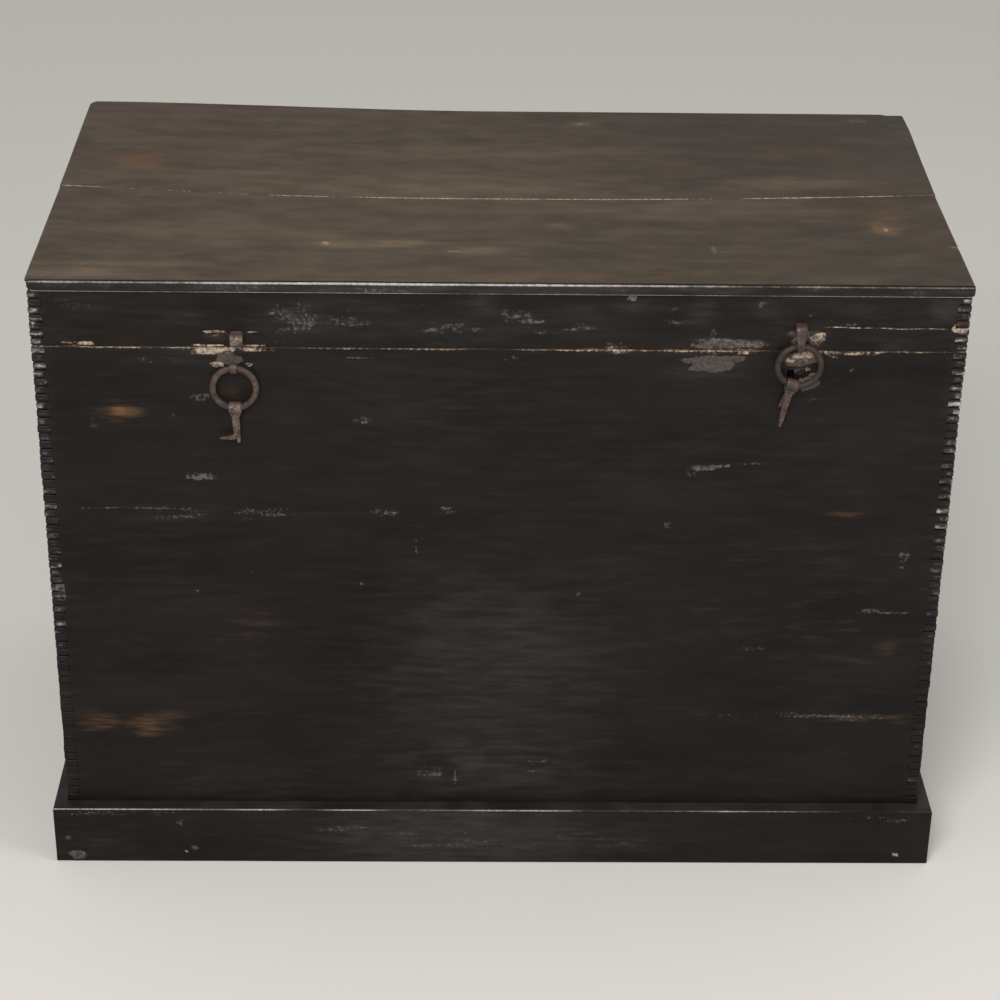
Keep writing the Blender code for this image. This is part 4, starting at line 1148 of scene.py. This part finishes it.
def make_fastenings():
    """Rings, the eyes that they hang in, the empty lid eye and the split pegs."""
    left, radius, wire = make_ring("ring_left", iron, 3)
    right, _radius, _wire = make_ring("ring_right", dark_iron, 4)
    eye_radius = wire + EYE_PLAY + STRAP / 2
    standoff = wire + PEG_PLAY + STRAP + WALL_CLEAR
    empty = (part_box("lid_eye_left")[0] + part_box("lid_eye_left")[1]) / 2
    make_eye("case_eye_left", "front", left.x, left.z + radius, eye_radius, standoff, 0,
             CASE_EYE, CASE_EYE, 11)
    make_eye("lid_eye_left", "front", empty.x, empty.z - LEFT_EYE_DROP, eye_radius, standoff, LEFT_EYE_DROP,
             LEFT_EYE, LEFT_EYE, 12, rubbed_iron)
    make_eye("lid_eye_right", "front", right.x, right.z + radius, eye_radius, standoff, RIGHT_EYE_DROP,
             RIGHT_EYE, RIGHT_EYE_TIP, 13)
    make_peg("peg_left", wire, (left.x, left.y, left.z - radius), 0.0,
             lambda neck: straight_leg(LEFT_PEG + LEFT_SPUR, LEFT_SHIFT, neck), hooked_leg, 14, rubbed_iron)
    tip = (right.x - radius * math.sin(RIGHT_TURN), right.y, right.z - radius * math.cos(RIGHT_TURN))
    make_peg("peg_right", wire, tip, RIGHT_TURN,
             lambda neck: straight_leg(RIGHT_SHORT_LEG, -RIGHT_SPLAY, neck),
             lambda neck: straight_leg(RIGHT_PEG, RIGHT_SPLAY, neck), 15, iron)


# Handles and hinges

# Bends and stubs of a handle, width of its eyes, and spacing of its rings of points
HANDLE_BEND, HANDLE_STUB, HANDLE_EYE = 10 * MM, 11 * MM, 8 * MM
HANDLE_STEP = 1.2 * MM
# Rounding of worn hinge leaves, and of their pins and nails
LEAF_WEAR, NAIL_WEAR = 0.35 * MM, 0.2 * MM


def make_handles():
    """Bail handles of round bar: a circle carried along a path of stubs, bends and grip; and their eyes."""
    for side, seed in (("left", 21), ("right", 25)):
        node = f"handle_{side}"
        low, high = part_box(node)
        wire = (high.x - low.x) / 2
        span = (high.y - low.y) / 2 - HANDLE_STUB
        drop = high.z - low.z - 2 * wire
        top = high.z - wire
        leg = span - HANDLE_EYE / 2 - HANDLE_BEND - FIT_GAP
        half = np.concatenate([
            [(span + HANDLE_STUB, 0)],
            arc(leg + HANDLE_BEND, -HANDLE_BEND, HANDLE_BEND, np.pi / 2, np.pi, 10),
            arc(leg - HANDLE_BEND, HANDLE_BEND - drop, HANDLE_BEND, 0, -np.pi / 2, 10),
        ])
        path = np.concatenate([half, half[::-1] * (-1, 1)])
        path = resample(np.insert(path, 1, 0, axis=1), HANDLE_STEP)
        tangent = unit(np.gradient(path, axis=0))
        out = np.array([0.0, -1.0, 0.0])
        angle = circle(18)
        run = np.arange(len(path)) * HANDLE_STEP / MM
        end = np.minimum(run, run[-1] - run)
        r = wire * (0.98 + 0.03 * lattice_noise(run[:, None] / 6, angle[None] * 2, seed))
        r = r * (0.75 + 0.25 * ease(end / 2))[:, None]
        points = (path[:, None] + (r * np.cos(angle))[..., None] * out
                  + (r * np.sin(angle))[..., None] * np.cross(tangent, out)[:, None])
        mesh = skin_mesh(node, points)
        turn, _half, reach, _own = WALLS[side]
        standoff = abs((low.x + high.x) / 2) - reach
        mesh.transform(Matrix.Rotation(turn, 4, "Z") @ Matrix.Translation((0, -reach - standoff, top)))
        dress(node, mesh, "wrought_iron", iron)
        eye_radius = wire + EYE_PLAY + STRAP / 2
        for number, end_sign in ((1, -1), (2, 1)):
            make_eye(f"{node}_eye_{number}", side, end_sign * span, top, eye_radius, standoff, 0,
                     HANDLE_EYE, HANDLE_EYE, seed + number)


def eased_copy(node, width):
    """Copy of a CAD piece with its edges worn round."""
    source = frame["nodes"][node].data
    shape = bmesh.new()
    shape.from_mesh(source)
    bmesh.ops.remove_doubles(shape, verts=shape.verts, dist=ROW_STEP)
    mesh = bpy.data.meshes.new(node)
    shape.to_mesh(mesh)
    shape.free()
    mesh.materials.clear()
    mesh.shade_smooth()
    mesh.set_sharp_from_angle(angle=SHARP_ANGLE)
    piece = dress(node, mesh, "wrought_iron", iron)
    bevel = piece.modifiers.new("worn_edges", "BEVEL")
    bevel.width = width
    bevel.segments = 2
    bevel.limit_method = "ANGLE"
    bevel.angle_limit = SHARP_ANGLE


def make_hinges():
    """Hinge leaves, pins and nails on the back."""
    for node in frame["nodes"]:
        if node.startswith("hinge_"):
            eased_copy(node, LEAF_WEAR if node.endswith("leaf") else NAIL_WEAR)


# Stage, light and camera

FLOOR_REACH = 30.0
SKY_COLOR, SKY_STRENGTH = (1.0, 0.99, 0.97, 1.0), 0.55
# Each lamp's place and width in metres and its power in watts; both look at the middle of the trunk
LAMPS = {"key_softbox": ((-0.7, -2.7, 2.7), 1.6, 88), "fill_softbox": ((2.4, -1.4, 1.9), 1.6, 26)}
LAMP_AIM = (0, 0, 0.36)


def make_floor():
    """Plain pale floor: one square."""
    mesh = bpy.data.meshes.new("studio_floor")
    corners = [(x * FLOOR_REACH, y * FLOOR_REACH, 0) for x, y in ((-1, -1), (1, -1), (1, 1), (-1, 1))]
    mesh.from_pydata(corners, [], [(0, 1, 2, 3)])
    mesh.materials.append(pale_floor("pale_studio_floor"))
    new_object("studio_floor", mesh)


def make_lights():
    """Soft sky all round, a large lamp above the camera and a weaker one from the right."""
    world = bpy.data.worlds.new("studio_sky")
    world.use_nodes = True
    sky = world.node_tree.nodes["Background"]
    set_inputs(world.node_tree, sky, {"Color": SKY_COLOR, "Strength": SKY_STRENGTH})
    bpy.context.scene.world = world
    for name, (place, width, power) in LAMPS.items():
        lamp = bpy.data.lights.new(name, "AREA")
        lamp.shape = "DISK"
        lamp.size = width
        lamp.energy = power
        aim = (Vector(LAMP_AIM) - Vector(place)).to_track_quat("-Z", "Y")
        new_object(name, lamp).matrix_world = Matrix.Translation(place) @ aim.to_matrix().to_4x4()


# Camera fitted to the photograph: place in metres, turns in radians and focal length in pixels of its frame
CAMERA_PLACE = (-0.0408, -2.4404, 1.6100)
CAMERA_YAW, CAMERA_PITCH, CAMERA_ROLL = 0.01945, 0.49261, 0.01495
CAMERA_FOCAL = 2512.4
FRAME_PIXELS = 1000


def make_camera():
    """Camera at the photograph's place: its axes come from yaw and pitch and are then rolled."""
    forward = np.array([math.sin(CAMERA_YAW) * math.cos(CAMERA_PITCH),
                        math.cos(CAMERA_YAW) * math.cos(CAMERA_PITCH), -math.sin(CAMERA_PITCH)])
    level = np.array([math.cos(CAMERA_YAW), -math.sin(CAMERA_YAW), 0])
    above = np.cross(level, forward)
    right = math.cos(CAMERA_ROLL) * level + math.sin(CAMERA_ROLL) * above
    up = math.cos(CAMERA_ROLL) * above - math.sin(CAMERA_ROLL) * level
    lens = bpy.data.cameras.new("camera")
    lens.sensor_width = 36.0
    lens.lens = CAMERA_FOCAL / FRAME_PIXELS * lens.sensor_width
    camera = new_object("camera", lens)
    turn = np.eye(4)
    turn[:3, :3] = joined(right, up, -forward)
    turn[:3, 3] = CAMERA_PLACE
    camera.matrix_world = Matrix(turn.tolist())
    bpy.context.scene.camera = camera


make_camera()
make_floor()
make_lights()
make_case()
make_rims()
make_flat_boards()
make_plinth()
make_fastenings()
make_handles()
make_hinges()
bpy.context.scene.view_settings.view_transform = "Standard"
